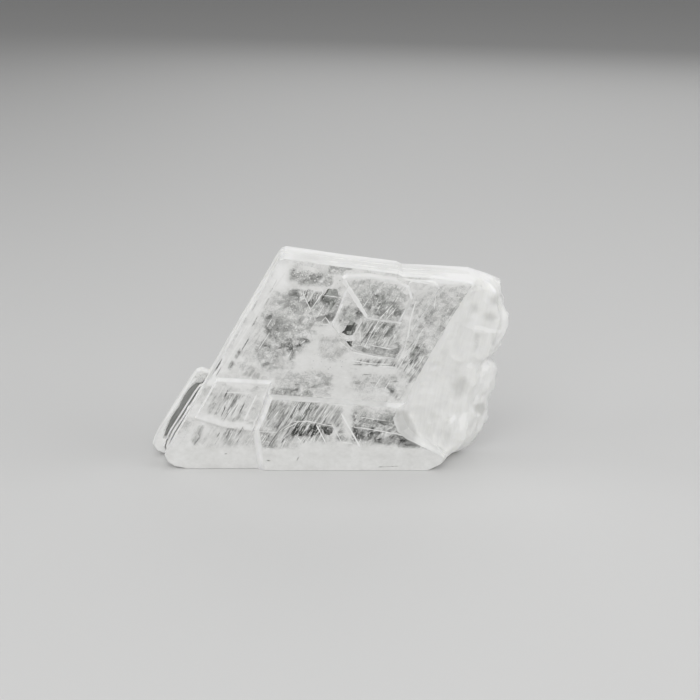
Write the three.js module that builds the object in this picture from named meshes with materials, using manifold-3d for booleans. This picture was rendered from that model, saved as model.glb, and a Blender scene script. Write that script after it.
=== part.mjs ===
// A selenite slab: one clear gypsum crystal, split into a thick plate that stands on its long edge.
//
// Millimetres, +Z up. The broad split faces look along -Y (front) and +Y (back). The origin is at
// the middle of the foot, on the surface that the slab stands on.
//
// Gypsum splits into parallel sheets, so the slab is a stack of them. Each sheet steps a little in
// or out along the left and top sides, which gives those sides their fine ledges. The right side is
// broken: it slopes back from the front face to a crease, and is ragged from there to the back.
// Loose plates of the outer sheets stay on both broad faces as low terraces with slanted rims, and
// three thin sheets at the back reach further left than the rest.
import * as THREE from "three";
import { mergeVertices } from "three/addons/utils/BufferGeometryUtils.js";
import Module from "manifold-3d";

// Depths, along Y. The stack lies between its front and back planes, the terraces outside them.
const FRONT = -5.0; // front plane of the stack
const BACK = 5.7; // back plane of the stack
const CREASE = -0.4; // where the slope of the broken side ends
const SHEETS = 12; // sheets in the stack
const LEDGE = 0.06; // depth over which one sheet's edge steps to the next
const STEP = 0.34; // the most that a sheet steps in or out along the left side
const LEAN = 0.17; // the most that its left side leans besides, at the full height
const HEIGHT = 47; // the full height
const TOP_STEP = 0.24; // the most that it steps up or down along the top
const CORNER_SHARE = 0.3; // share of its step that lifts its upper left corner
const SINK = 0.5; // how far a terrace's plate runs into the stack that carries it
// A terrace's rim slants inwards, and more so near its outer face: how far up, and how far in.
const RISE = [
  { up: 0.0, share: 0.0 },
  { up: 0.7, share: 0.55 },
  { up: 1.0, share: 1.0 },
];

// The outline, as [x, z] seen from the front. The left, top and foot are alike at every depth.
const LEFT_SIDE = [
  [-31.0, 0.0],
  [-33.4, 0.5],
  [-34.9, 1.6],
  [-35.5, 3.1],
  [-34.3, 5.2],
  [-25.4, 20.6],
  [-10.6, 46.0],
  [-10.0, 46.8],
  [-9.1, 47.1],
];
const TOP_SIDE = [
  [2.4, 45.5],
  [14.6, 43.9],
  [15.8, 43.3],
  [22.0, 43.0],
];
// The broken right side from the top down to the foot, at the front plane, crease and back plane.
const RIGHT_SIDE = [
  { front: [27.0, 42.2], crease: [29.5, 42.3], back: [30.0, 42.4] },
  { front: [29.6, 41.8], crease: [33.6, 41.1], back: [34.4, 41.0] },
  { front: [30.3, 40.9], crease: [36.2, 38.8], back: [37.5, 39.1] },
  { front: [28.5, 38.0], crease: [36.6, 36.2], back: [37.3, 36.7] },
  { front: [26.2, 33.9], crease: [37.2, 33.4], back: [38.8, 33.0] },
  { front: [24.0, 29.8], crease: [36.9, 29.4], back: [39.2, 28.4] },
  { front: [21.3, 24.8], crease: [34.8, 24.2], back: [37.4, 24.6] },
  { front: [19.9, 22.0], crease: [32.9, 21.9], back: [35.8, 22.2] },
  { front: [18.1, 18.4], crease: [32.4, 18.5], back: [37.3, 18.3] },
  { front: [16.9, 15.4], crease: [31.2, 14.6], back: [36.2, 14.4] },
  { front: [16.2, 12.4], crease: [30.6, 11.8], back: [35.6, 12.4] },
  { front: [17.6, 9.0], crease: [30.9, 8.1], back: [35.4, 9.0] },
  { front: [20.6, 6.3], crease: [30.4, 4.8], back: [34.0, 5.3] },
  { front: [24.0, 4.6], crease: [29.0, 2.6], back: [32.2, 2.2] },
  { front: [25.7, 3.1], crease: [27.2, 1.4], back: [30.3, 0.8] },
  { front: [24.6, 1.2], crease: [25.4, 0.6], back: [28.4, 0.2] },
  { front: [22.0, 0.0], crease: [23.2, 0.0], back: [26.8, 0.0] },
];
const BREAKS = 3; // lengths that each stretch of the broken side is cut into
// How far a sheet's broken edge wanders at the back, and the shares of it at the crease, seen from
// the slope and from the ragged part.
const RAGGED = 0.8;
const SLOPE_SHARE = 0.3;
const CREASE_SHARE = 0.5;
// How fast the wandering changes: from point to point, through the slope, and from sheet to sheet.
const WANDERING = { along: 0.61, slope: 0.9, sheet: 1.7 };
const CALM_BELOW = 1.5; // height below which the broken edge doesn't wander
const WILD_ABOVE = 6; // height above which it wanders fully
const CALM_POINTS = 4; // points at its top end over which the wandering starts

// Terraces on the front: the Y of their outer faces, their outlines, and how far in each length of
// the rim slants, from the length that starts at the first point.
const FRONT_PLATES = [
  {
    // along the foot, with its left end stepping down to the surface
    face: -6.2,
    rims: [0, 0.3, 0.3, 0.5, 1.0, 1.8, 2.2, 1.6, 0.8, 0.8, 1.2, 1.2, 1.6],
    outline: [
      [-15.3, 0.0],
      [22.0, 0.0],
      [24.5, 1.3],
      [25.4, 3.1],
      [23.4, 4.9],
      [20.0, 6.7],
      [17.2, 9.3],
      [15.9, 12.6],
      [16.7, 15.0],
      [12.4, 15.3],
      [-12.9, 17.1],
      [-14.2, 13.4],
      [-16.3, 8.9],
    ],
  },
  {
    // the small window at the lower left
    face: -5.6,
    rims: [0.3, 0.3, 0.5, 0.8, 0.4],
    outline: [
      [-28.8, 11.7],
      [-22.8, 9.6],
      [-16.0, 8.6],
      [-11.8, 20.2],
      [-23.6, 20.9],
    ],
  },
  {
    // the middle terrace, its lower right corner bounded by both splitting directions
    face: -5.4,
    rims: [0.3, 0.3, 0.3, 0.4, 0.5, 0.4, 0.4, 0.4],
    outline: [
      [0.8, 32.5],
      [2.3, 30.6],
      [5.1, 26.9],
      [14.5, 24.9],
      [23.6, 40.6],
      [22.6, 42.3],
      [5.4, 43.6],
      [4.2, 41.4],
    ],
  },
  {
    // the triangular plate on top of the middle terrace
    face: -5.95,
    rims: [0.25, 0.25, 0.9, 0.9, 0.8, 1.0, 1.0, 0.6],
    outline: [
      [2.9, 43.2],
      [8.4, 34.4],
      [15.6, 33.3],
      [18.3, 38.4],
      [17.4, 41.4],
      [14.2, 43.1],
      [9.0, 43.9],
      [3.9, 44.0],
    ],
  },
];
const BACK_PLATES = [
  {
    face: 6.2,
    rims: [0, 0.4, 0.4, 0.4, 0.4],
    outline: [
      [-29.5, 0.0],
      [14.0, 0.0],
      [22.6, 14.2],
      [-20.6, 19.7],
      [-28.8, 6.4],
    ],
  },
  {
    face: 6.0,
    rims: [0.3, 0.3, 0.3, 0.3, 0.3],
    outline: [
      [-4.0, 20.6],
      [25.6, 17.0],
      [35.0, 33.2],
      [33.0, 39.6],
      [8.2, 42.6],
    ],
  },
  {
    face: 6.2,
    rims: [0.5, 0.5, 0.5, 0.5],
    outline: [
      [-18.5, 26.0],
      [-7.8, 24.6],
      [2.5, 42.4],
      [-8.2, 43.8],
    ],
  },
];

// The sheets at the back that reach further left. Each is cut further in, and is lower, than the
// one behind it.
const LEFT_SHEETS = [
  { front: 2.6, back: 4.6, inset: 0.0, drop: 0.0 },
  { front: 1.4, back: 2.7, inset: 2.6, drop: 3.0 },
  { front: 0.2, back: 1.5, inset: 3.4, drop: 3.8 },
];
const LEFT_SHEET_RIM = 0.5; // how far in the front edge of such a sheet is worn
const LEFT_SHEET_OUTLINE = [
  [-36.8, 0.2],
  [-38.3, 0.9],
  [-39.1, 2.4],
  [-38.7, 3.9],
  [-37.5, 6.4],
  [-30.0, 18.3],
  [-28.9, 19.8],
  [-27.8, 20.2],
  [-26.4, 19.8],
];
const LEFT_SHEET_ROOT = -20.0; // x inside the stack where these sheets end
const LEFT_SHEET_SLOPE = 0.63; // x for each z along their left edge
const LEFT_SHEET_SHOULDER = 10.0; // height above which their points come down with the top

const wasm = await Module();
wasm.setup();

// A repeatable number from -1 to 1 for each whole i and j.
function scatter(i, j) {
  const s = Math.sin(i * 127.1 + j * 311.7) * 43758.5453;
  return 2 * (s - Math.floor(s)) - 1;
}

// Smoothly varying scatter, for any x and y.
function wander(x, y) {
  const i = Math.floor(x);
  const j = Math.floor(y);
  const u = THREE.MathUtils.smoothstep(x - i, 0, 1);
  const v = THREE.MathUtils.smoothstep(y - j, 0, 1);
  const low = THREE.MathUtils.lerp(scatter(i, j), scatter(i + 1, j), u);
  const high = THREE.MathUtils.lerp(scatter(i, j + 1), scatter(i + 1, j + 1), u);
  return THREE.MathUtils.lerp(low, high, v);
}

function between(a, b, share) {
  return [
    THREE.MathUtils.lerp(a[0], b[0], share),
    THREE.MathUtils.lerp(a[1], b[1], share),
  ];
}

function solidOf(geometry) {
  geometry.deleteAttribute("normal");
  geometry.deleteAttribute("uv");
  const merged = mergeVertices(geometry, 1e-4);
  return new wasm.Manifold(
    new wasm.Mesh({
      numProp: 3,
      vertProperties: merged.attributes.position.array,
      triVerts: new Uint32Array(merged.index.array),
    }),
  );
}

// Joins rings of equally many [x, z] points, each at its own y, into one closed solid. The first
// ring is at the front.
function loft(rings) {
  const flat = (points) => points.map(([x, z]) => new THREE.Vector2(x, z));
  const clockwise = THREE.ShapeUtils.isClockWise(flat(rings[0].points));
  const loops = rings.map(({ points }) => flat(clockwise ? points : [...points].reverse()));
  const count = loops[0].length;
  const positions = [];
  const faces = [];
  loops.forEach((loop, r) => loop.forEach(({ x, y: z }) => positions.push(x, rings[r].y, z)));
  for (let r = 0; r + 1 < loops.length; r++)
    for (let i = 0; i < count; i++) {
      const a = r * count + i;
      const b = r * count + ((i + 1) % count);
      faces.push(a, b, b + count, a, b + count, a + count);
    }
  for (const r of [0, loops.length - 1])
    for (const corners of THREE.ShapeUtils.triangulateShape(loops[r], [])) {
      const [a, b, c] = corners.map((corner) => r * count + corner);
      const facing = THREE.ShapeUtils.area(corners.map((corner) => loops[r][corner])) > 0;
      faces.push(...(facing === (r === 0) ? [a, b, c] : [a, c, b]));
    }
  const geometry = new THREE.BufferGeometry();
  geometry.setAttribute("position", new THREE.Float32BufferAttribute(positions, 3));
  geometry.setIndex(faces);
  return solidOf(geometry);
}

// The outline of the stack at depth y, in the sheet with this number.
function outlineAt(y, sheet) {
  const step = STEP * scatter(sheet, 3);
  const lean = LEAN * scatter(sheet, 7);
  const left = LEFT_SIDE.map(([x, z]) => [x - (z > 0 ? step + lean * (z / HEIGHT) : 0), z]);
  const top = TOP_SIDE.map(([x, z]) => [x, z + TOP_STEP * scatter(sheet, 11)]);
  left[left.length - 1][1] += CORNER_SHARE * step;

  const sloping = y < CREASE;
  const share = sloping
    ? (y - FRONT) / (CREASE - FRONT)
    : THREE.MathUtils.smoothstep(y, CREASE, BACK);
  const [from, to] = sloping ? ["front", "crease"] : ["crease", "back"];
  const stations = RIGHT_SIDE.map((s) => between(s[from], s[to], share));
  const broken = new THREE.SplineCurve(stations.map(([x, z]) => new THREE.Vector2(x, z)));
  const right = broken.getPoints(BREAKS * (stations.length - 1)).map(({ x, y: z }, i) => {
    const wild = THREE.MathUtils.smoothstep(z, CALM_BELOW, WILD_ABOVE) * Math.min(1, i / CALM_POINTS);
    const much = sloping ? SLOPE_SHARE * share : THREE.MathUtils.lerp(CREASE_SHARE, 1, share);
    const turn = sloping ? WANDERING.slope * y : WANDERING.sheet * sheet;
    return [x + RAGGED * wild * much * wander(WANDERING.along * i, turn), Math.max(z, 0)];
  });
  return [...left, ...top, ...right];
}

function stackOfSheets() {
  const rings = [];
  const depth = (BACK - FRONT) / SHEETS;
  for (let sheet = 0; sheet < SHEETS; sheet++) {
    const near = FRONT + sheet * depth + (sheet > 0 ? LEDGE : 0);
    const far = FRONT + (sheet + 1) * depth;
    for (const y of [near, far]) rings.push({ y, points: outlineAt(y, sheet) });
  }
  return loft(rings);
}

// A closed line with each of its lengths moved inwards by its own distance, and its corners kept.
function offset(points, distances) {
  const turn = THREE.ShapeUtils.area(points.map(([x, z]) => new THREE.Vector2(x, z))) > 0 ? 1 : -1;
  const lengths = points.map(([ax, az], k) => {
    const [bx, bz] = points[(k + 1) % points.length];
    const share = (turn * distances[k]) / Math.hypot(bx - ax, bz - az);
    return [ax - share * (bz - az), az + share * (bx - ax), bx - ax, bz - az];
  });
  return lengths.map(([bx, bz, vx, vz], k) => {
    const [ax, az, ux, uz] = lengths[(k + lengths.length - 1) % lengths.length];
    const share = ((bx - ax) * vz - (bz - az) * vx) / (ux * vz - uz * vx);
    return [ax + share * ux, az + share * uz];
  });
}

// A plate on the stack's front or back plane, with a rim that slants in towards its outer face.
function plate(root, { face, rims, outline }) {
  const inside = root - Math.sign(face - root) * SINK;
  const rings = [{ y: inside, points: outline }];
  for (const { up, share } of RISE) {
    const points = offset(outline, rims.map((rim) => share * rim));
    rings.push({ y: THREE.MathUtils.lerp(root, face, up), points });
  }
  return loft(face < root ? rings.reverse() : rings);
}

function leftSheet({ front, back, inset, drop }) {
  const edge = LEFT_SHEET_OUTLINE.map(([x, z]) => {
    const down = z > LEFT_SHEET_SHOULDER ? drop : 0;
    return [x + inset - LEFT_SHEET_SLOPE * down, z - down];
  });
  const top = edge[edge.length - 1][1] - 1;
  const foot = edge[0][1];
  const points = [...edge, [LEFT_SHEET_ROOT, top], [LEFT_SHEET_ROOT, foot]];
  const worn = offset(points, points.map(() => LEFT_SHEET_RIM));
  return loft([
    { y: front, points: worn },
    { y: front + LEFT_SHEET_RIM, points },
    { y: back, points },
  ]);
}

// A solid moved so that it stands centred over the origin.
function centred(solid) {
  const { min, max } = solid.boundingBox();
  return solid.translate([-(min[0] + max[0]) / 2, -(min[1] + max[1]) / 2, -min[2]]);
}

function geometryOf(solid) {
  const { vertProperties, triVerts } = solid.getMesh();
  const geometry = new THREE.BufferGeometry();
  geometry.setAttribute("position", new THREE.BufferAttribute(vertProperties, 3));
  geometry.setIndex(new THREE.BufferAttribute(triVerts, 1));
  return geometry;
}

function slabSolid() {
  let solid = stackOfSheets();
  for (const sheet of LEFT_SHEETS) solid = solid.add(leftSheet(sheet));
  for (const values of FRONT_PLATES) solid = solid.add(plate(FRONT, values));
  for (const values of BACK_PLATES) solid = solid.add(plate(BACK, values));
  return centred(solid);
}

const gypsum = new THREE.MeshStandardMaterial({
  color: 0xd9dad4,
  roughness: 0.25,
  metalness: 0,
  transparent: true,
  opacity: 0.6,
});
const slab = new THREE.Mesh(geometryOf(slabSolid()), gypsum);
slab.name = "selenite_slab";

const group = new THREE.Group();
group.add(slab);
export default group;
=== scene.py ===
"""A selenite slab: one clear gypsum crystal standing on its long edge, with its flaws inside it."""

import math
import random
from collections import Counter

import bmesh
import bpy
import numpy as np
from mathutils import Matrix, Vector, noise
from mathutils.geometry import delaunay_2d_cdt


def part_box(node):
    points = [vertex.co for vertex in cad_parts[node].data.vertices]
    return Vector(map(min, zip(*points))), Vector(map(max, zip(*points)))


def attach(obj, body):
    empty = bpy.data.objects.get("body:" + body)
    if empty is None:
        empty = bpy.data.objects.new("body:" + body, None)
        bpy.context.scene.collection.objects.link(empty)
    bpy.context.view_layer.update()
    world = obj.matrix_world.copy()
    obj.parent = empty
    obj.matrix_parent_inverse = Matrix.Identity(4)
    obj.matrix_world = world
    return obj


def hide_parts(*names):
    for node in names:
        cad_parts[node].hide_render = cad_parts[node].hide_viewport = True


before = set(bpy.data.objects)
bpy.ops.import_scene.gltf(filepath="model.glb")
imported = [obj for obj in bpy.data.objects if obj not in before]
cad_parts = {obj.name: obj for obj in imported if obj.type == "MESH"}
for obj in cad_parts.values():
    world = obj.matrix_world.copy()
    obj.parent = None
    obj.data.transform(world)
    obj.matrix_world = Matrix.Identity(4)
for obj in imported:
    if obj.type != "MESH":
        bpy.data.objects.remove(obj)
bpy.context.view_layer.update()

MM = 0.001  # the named values below are in millimetres
NODE = "selenite_slab"

# ---------------------------------------------------------------- the crystal's driving dimensions

# Depths, along Y. The stack of sheets lies between its front and back planes, the terraces outside.
FRONT = -5.0
BACK = 5.7
CREASE = -0.4  # where the slope of the broken side ends
SHEETS = 12
LEDGE = 0.06  # depth over which one sheet's edge steps to the next
FIRST_PART = (0.35, 0.3)  # share of a sheet before the small ledge in it, and how much more at most
STEP = 0.34  # the most that a sheet steps in or out along the left side
LEAN_SHARE = 0.5  # share of that by which its left side leans besides, at the full height
HEIGHT = 47  # about the crystal's full height
TOP_SHARE = 0.3  # share of that by which it steps up or down along the top
CORNER_SHARE = 0.3  # share of its own step that lifts its upper left corner
SINK = 0.5  # how far a terrace's plate runs into the stack
RISE = ((0.0, 0.7, 1.0), (0.0, 0.55, 1.0))  # a terrace's slanted rim: how far up, and how far in

# The outline, as (x, z) seen from the front. The left, top and foot are alike at every depth.
LEFT_SIDE = [
    (-31.0, 0.0), (-33.4, 0.5), (-34.9, 1.6), (-35.5, 3.1), (-34.3, 5.2), (-25.4, 20.6),
    (-10.6, 46.0), (-10.0, 46.8), (-9.1, 47.1),
]
TOP_SIDE = [(2.4, 45.5), (14.6, 43.9), (15.8, 43.3), (22.0, 43.0)]
# The broken side from the top to the foot, at the front plane, the crease and the back plane.
BROKEN_SIDE = [
    ((27.0, 42.2), (29.5, 42.3), (30.0, 42.4)),
    ((29.6, 41.8), (33.6, 41.1), (34.4, 41.0)),
    ((30.3, 40.9), (36.2, 38.8), (37.5, 39.1)),
    ((28.5, 38.0), (36.6, 36.2), (37.3, 36.7)),
    ((26.2, 33.9), (37.2, 33.4), (38.8, 33.0)),
    ((24.0, 29.8), (36.9, 29.4), (39.2, 28.4)),
    ((21.3, 24.8), (34.8, 24.2), (37.4, 24.6)),
    ((19.9, 22.0), (32.9, 21.9), (35.8, 22.2)),
    ((18.1, 18.4), (32.4, 18.5), (37.3, 18.3)),
    ((16.9, 15.4), (31.2, 14.6), (36.2, 14.4)),
    ((16.2, 12.4), (30.6, 11.8), (35.6, 12.4)),
    ((17.6, 9.0), (30.9, 8.1), (35.4, 9.0)),
    ((20.6, 6.3), (30.4, 4.8), (34.0, 5.3)),
    ((24.0, 4.6), (29.0, 2.6), (32.2, 2.2)),
    ((25.7, 3.1), (27.2, 1.4), (30.3, 0.8)),
    ((24.6, 1.2), (25.4, 0.6), (28.4, 0.2)),
    ((22.0, 0.0), (23.2, 0.0), (26.8, 0.0)),
]
BREAKS = 3  # lengths that each stretch of it is cut into
RAGGED = 0.8  # how far a sheet's broken edge wanders at the back
SLOPE_SHARE = 0.3  # share of that at the crease, as the slope comes to it
CREASE_SHARE = 0.5  # and as the part behind it leaves it
CREASE_BLEND = 2.5  # depth over which one goes over to the other
WANDERING = {"along": 0.61, "depth": 0.9, "sheet": 1.7}  # how fast it changes
CALM_HEIGHTS = (1.5, 6.0)  # it starts between these heights
CALM_POINTS = 4  # and over as many of the solid's points at the top
# Terraces: the Y of the outer face, how far each length of the rim slants in, and the outline.
FRONT_PLATES = [
    (-6.2, [0, 0.3, 0.3, 0.5, 1.0, 1.8, 2.2, 1.6, 0.8, 0.8, 1.2, 1.2, 1.6], [
        (-15.3, 0.0), (22.0, 0.0), (24.5, 1.3), (25.4, 3.1), (23.4, 4.9), (20.0, 6.7), (17.2, 9.3),
        (15.9, 12.6), (16.7, 15.0), (12.4, 15.3), (-12.9, 17.1), (-14.2, 13.4), (-16.3, 8.9),
    ]),
    (-5.6, [0.3, 0.3, 0.5, 0.8, 0.4], [
        (-28.8, 11.7), (-22.8, 9.6), (-16.0, 8.6), (-11.8, 20.2), (-23.6, 20.9),
    ]),
    (-5.4, [0.3, 0.3, 0.3, 0.4, 0.5, 0.4, 0.4, 0.4], [
        (0.8, 32.5), (2.3, 30.6), (5.1, 26.9), (14.5, 24.9), (23.6, 40.6), (22.6, 42.3),
        (5.4, 43.6), (4.2, 41.4),
    ]),
    (-5.95, [0.25, 0.25, 0.9, 0.9, 0.8, 1.0, 1.0, 0.6], [
        (2.9, 43.2), (8.4, 34.4), (15.6, 33.3), (18.3, 38.4), (17.4, 41.4), (14.2, 43.1),
        (9.0, 43.9), (3.9, 44.0),
    ]),
]
BACK_PLATES = [
    (6.2, [0, 0.4, 0.4, 0.4, 0.4], [(-29.5, 0.0), (14.0, 0.0), (22.6, 14.2), (-20.6, 19.7), (-28.8, 6.4)]),
    (6.0, [0.3] * 5, [(-4.0, 20.6), (25.6, 17.0), (35.0, 33.2), (33.0, 39.6), (8.2, 42.6)]),
    (6.2, [0.5] * 4, [(-18.5, 26.0), (-7.8, 24.6), (2.5, 42.4), (-8.2, 43.8)]),
]
# Sheets near the back that reach further out at the lower left: front, back, cut in by, lower by.
LEFT_SHEETS = [(2.6, 4.6, 0.0, 0.0), (1.4, 2.7, 2.6, 3.0), (0.2, 1.5, 3.4, 3.8)]
LEFT_SHEET_OUTLINE = [
    (-36.8, 0.2), (-38.3, 0.9), (-39.1, 2.4), (-38.7, 3.9), (-37.5, 6.4), (-30.0, 18.3),
    (-28.9, 19.8), (-27.8, 20.2), (-26.4, 19.8),
]
LEFT_SHEET_ROOT = -20.0  # x inside the stack where these sheets end
LEFT_SHEET_SLOPE = 0.63  # x for each z along their left edge
LEFT_SHEET_SHOULDER = 10.0  # height above which their points come down with the top
LEFT_SHEET_FALL = 1.0  # how much lower the top is at the root
LEFT_SHEET_RIMS = (0.5, 0.3)  # how far in the front edges of the outermost and the others are worn
LEFT_RIM_SHAPE = [(0.0, 1.0), (0.25, 0.45), (0.65, 0.0)]  # depths in the sheet, and shares of that

# How finely this skin of the crystal follows those shapes.
FINE = 3  # lengths for each of the solid's
SPACING = 0.8  # between points along the left and top sides
CHIP = 0.07  # about the most that a small chip takes off an edge
CHIP_WAY = (0.8, -0.6)  # the way that chips cut into the left and top sides
CHIP_BIAS = 0.2  # the more, the fewer places have none
SIDE_CHIPS = 0.35  # how fast they change along these sides
SHEET_CHIPS = 3.1  # from sheet to sheet
RIM_CHIPS = 0.8  # and along a terrace's rim
UNCHIPPED = 0.6  # height of the foot's edge that has none
SOFTEN = 0.12  # how far the sharp edges of the broad faces are worn back
# How deep the broken edges' grain and bites are. Their kind is how fast they change with height and
# with depth, a number of their own, and what is taken off.
GRAIN = 0.22
GRAIN_KIND = (0.9, 0.5, 4.0, 0.5)
BITE = 0.5
BITE_KIND = (1.9, 0.25, 9.0, 0.15)

# The broken side is worn, and hollowed by lumps and by scoops with sharp ridges between them.
WEAR = 14  # rounds of wear
WEAR_STRENGTH = 0.6
WEAR_ALONG = 0.2  # how much the wear evens out each sheet's own edge too
WEAR_LENGTH = 0.4  # lengths over this are halved first
# Where the wear starts, is whole, is whole no more and ends.
WEAR_DEPTHS = (0.2, 1.2, 0.8, 0.1)  # behind the front plane, and before the back plane
WEAR_HEIGHTS = (0.3, 2.0, 40.5, 42.2)
WEAR_PAST_EDGE = (-0.3, 0.7)  # past the front face's broken edge, where it has no end
LUMP = 0.12  # the most that the lumps stand in
LUMP_CHANGE = [(0.30, 0.0, -0.12), (0.0, 0.5, 0.0), (0.2, 0.0, 0.16)]  # how fast, with x, y and z
LUMP_LAYERS = (0.7, 2.1, 4)  # how much weaker and finer each layer of them is, and how many there are
SCOOPS = [(0.45, (7.0, 4.0, 6.0)), (0.12, (2.4, 1.3, 1.9))]  # how deep, and their size
SCOOP_LEAN = 0.3  # how much they lean
SCOOP_EDGE = 1.6  # the more, the narrower each scoop
TINY = 0.001  # shorter lengths are taken out, and places nearer than this are one

# The scatter that each of a sheet's measures is drawn from.
STEP_DRAW, PART_DRAW, LEAN_DRAW, TOP_DRAW, LEFT_CHIP_DRAW, TOP_CHIP_DRAW = 3, 5, 7, 11, 20, 30

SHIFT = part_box(NODE)[0].x / MM - min(x for x, z in LEFT_SHEET_OUTLINE)  # centres it on the foot

# What the camera aims at, and from how far.
TARGET = (4.5, 0.0, 25.4)
DISTANCE = 356.0

# ---------------------------------------------------------------- the flaws inside it

# Places are given where they show through the front face, and a flaw at some depth is set lower by
# this much for each millimetre, because the look from above bends as it enters the crystal.
DROP = 0.207
LIFT = 0.325  # and one on a terrace higher by this, for each millimetre in front

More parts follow.
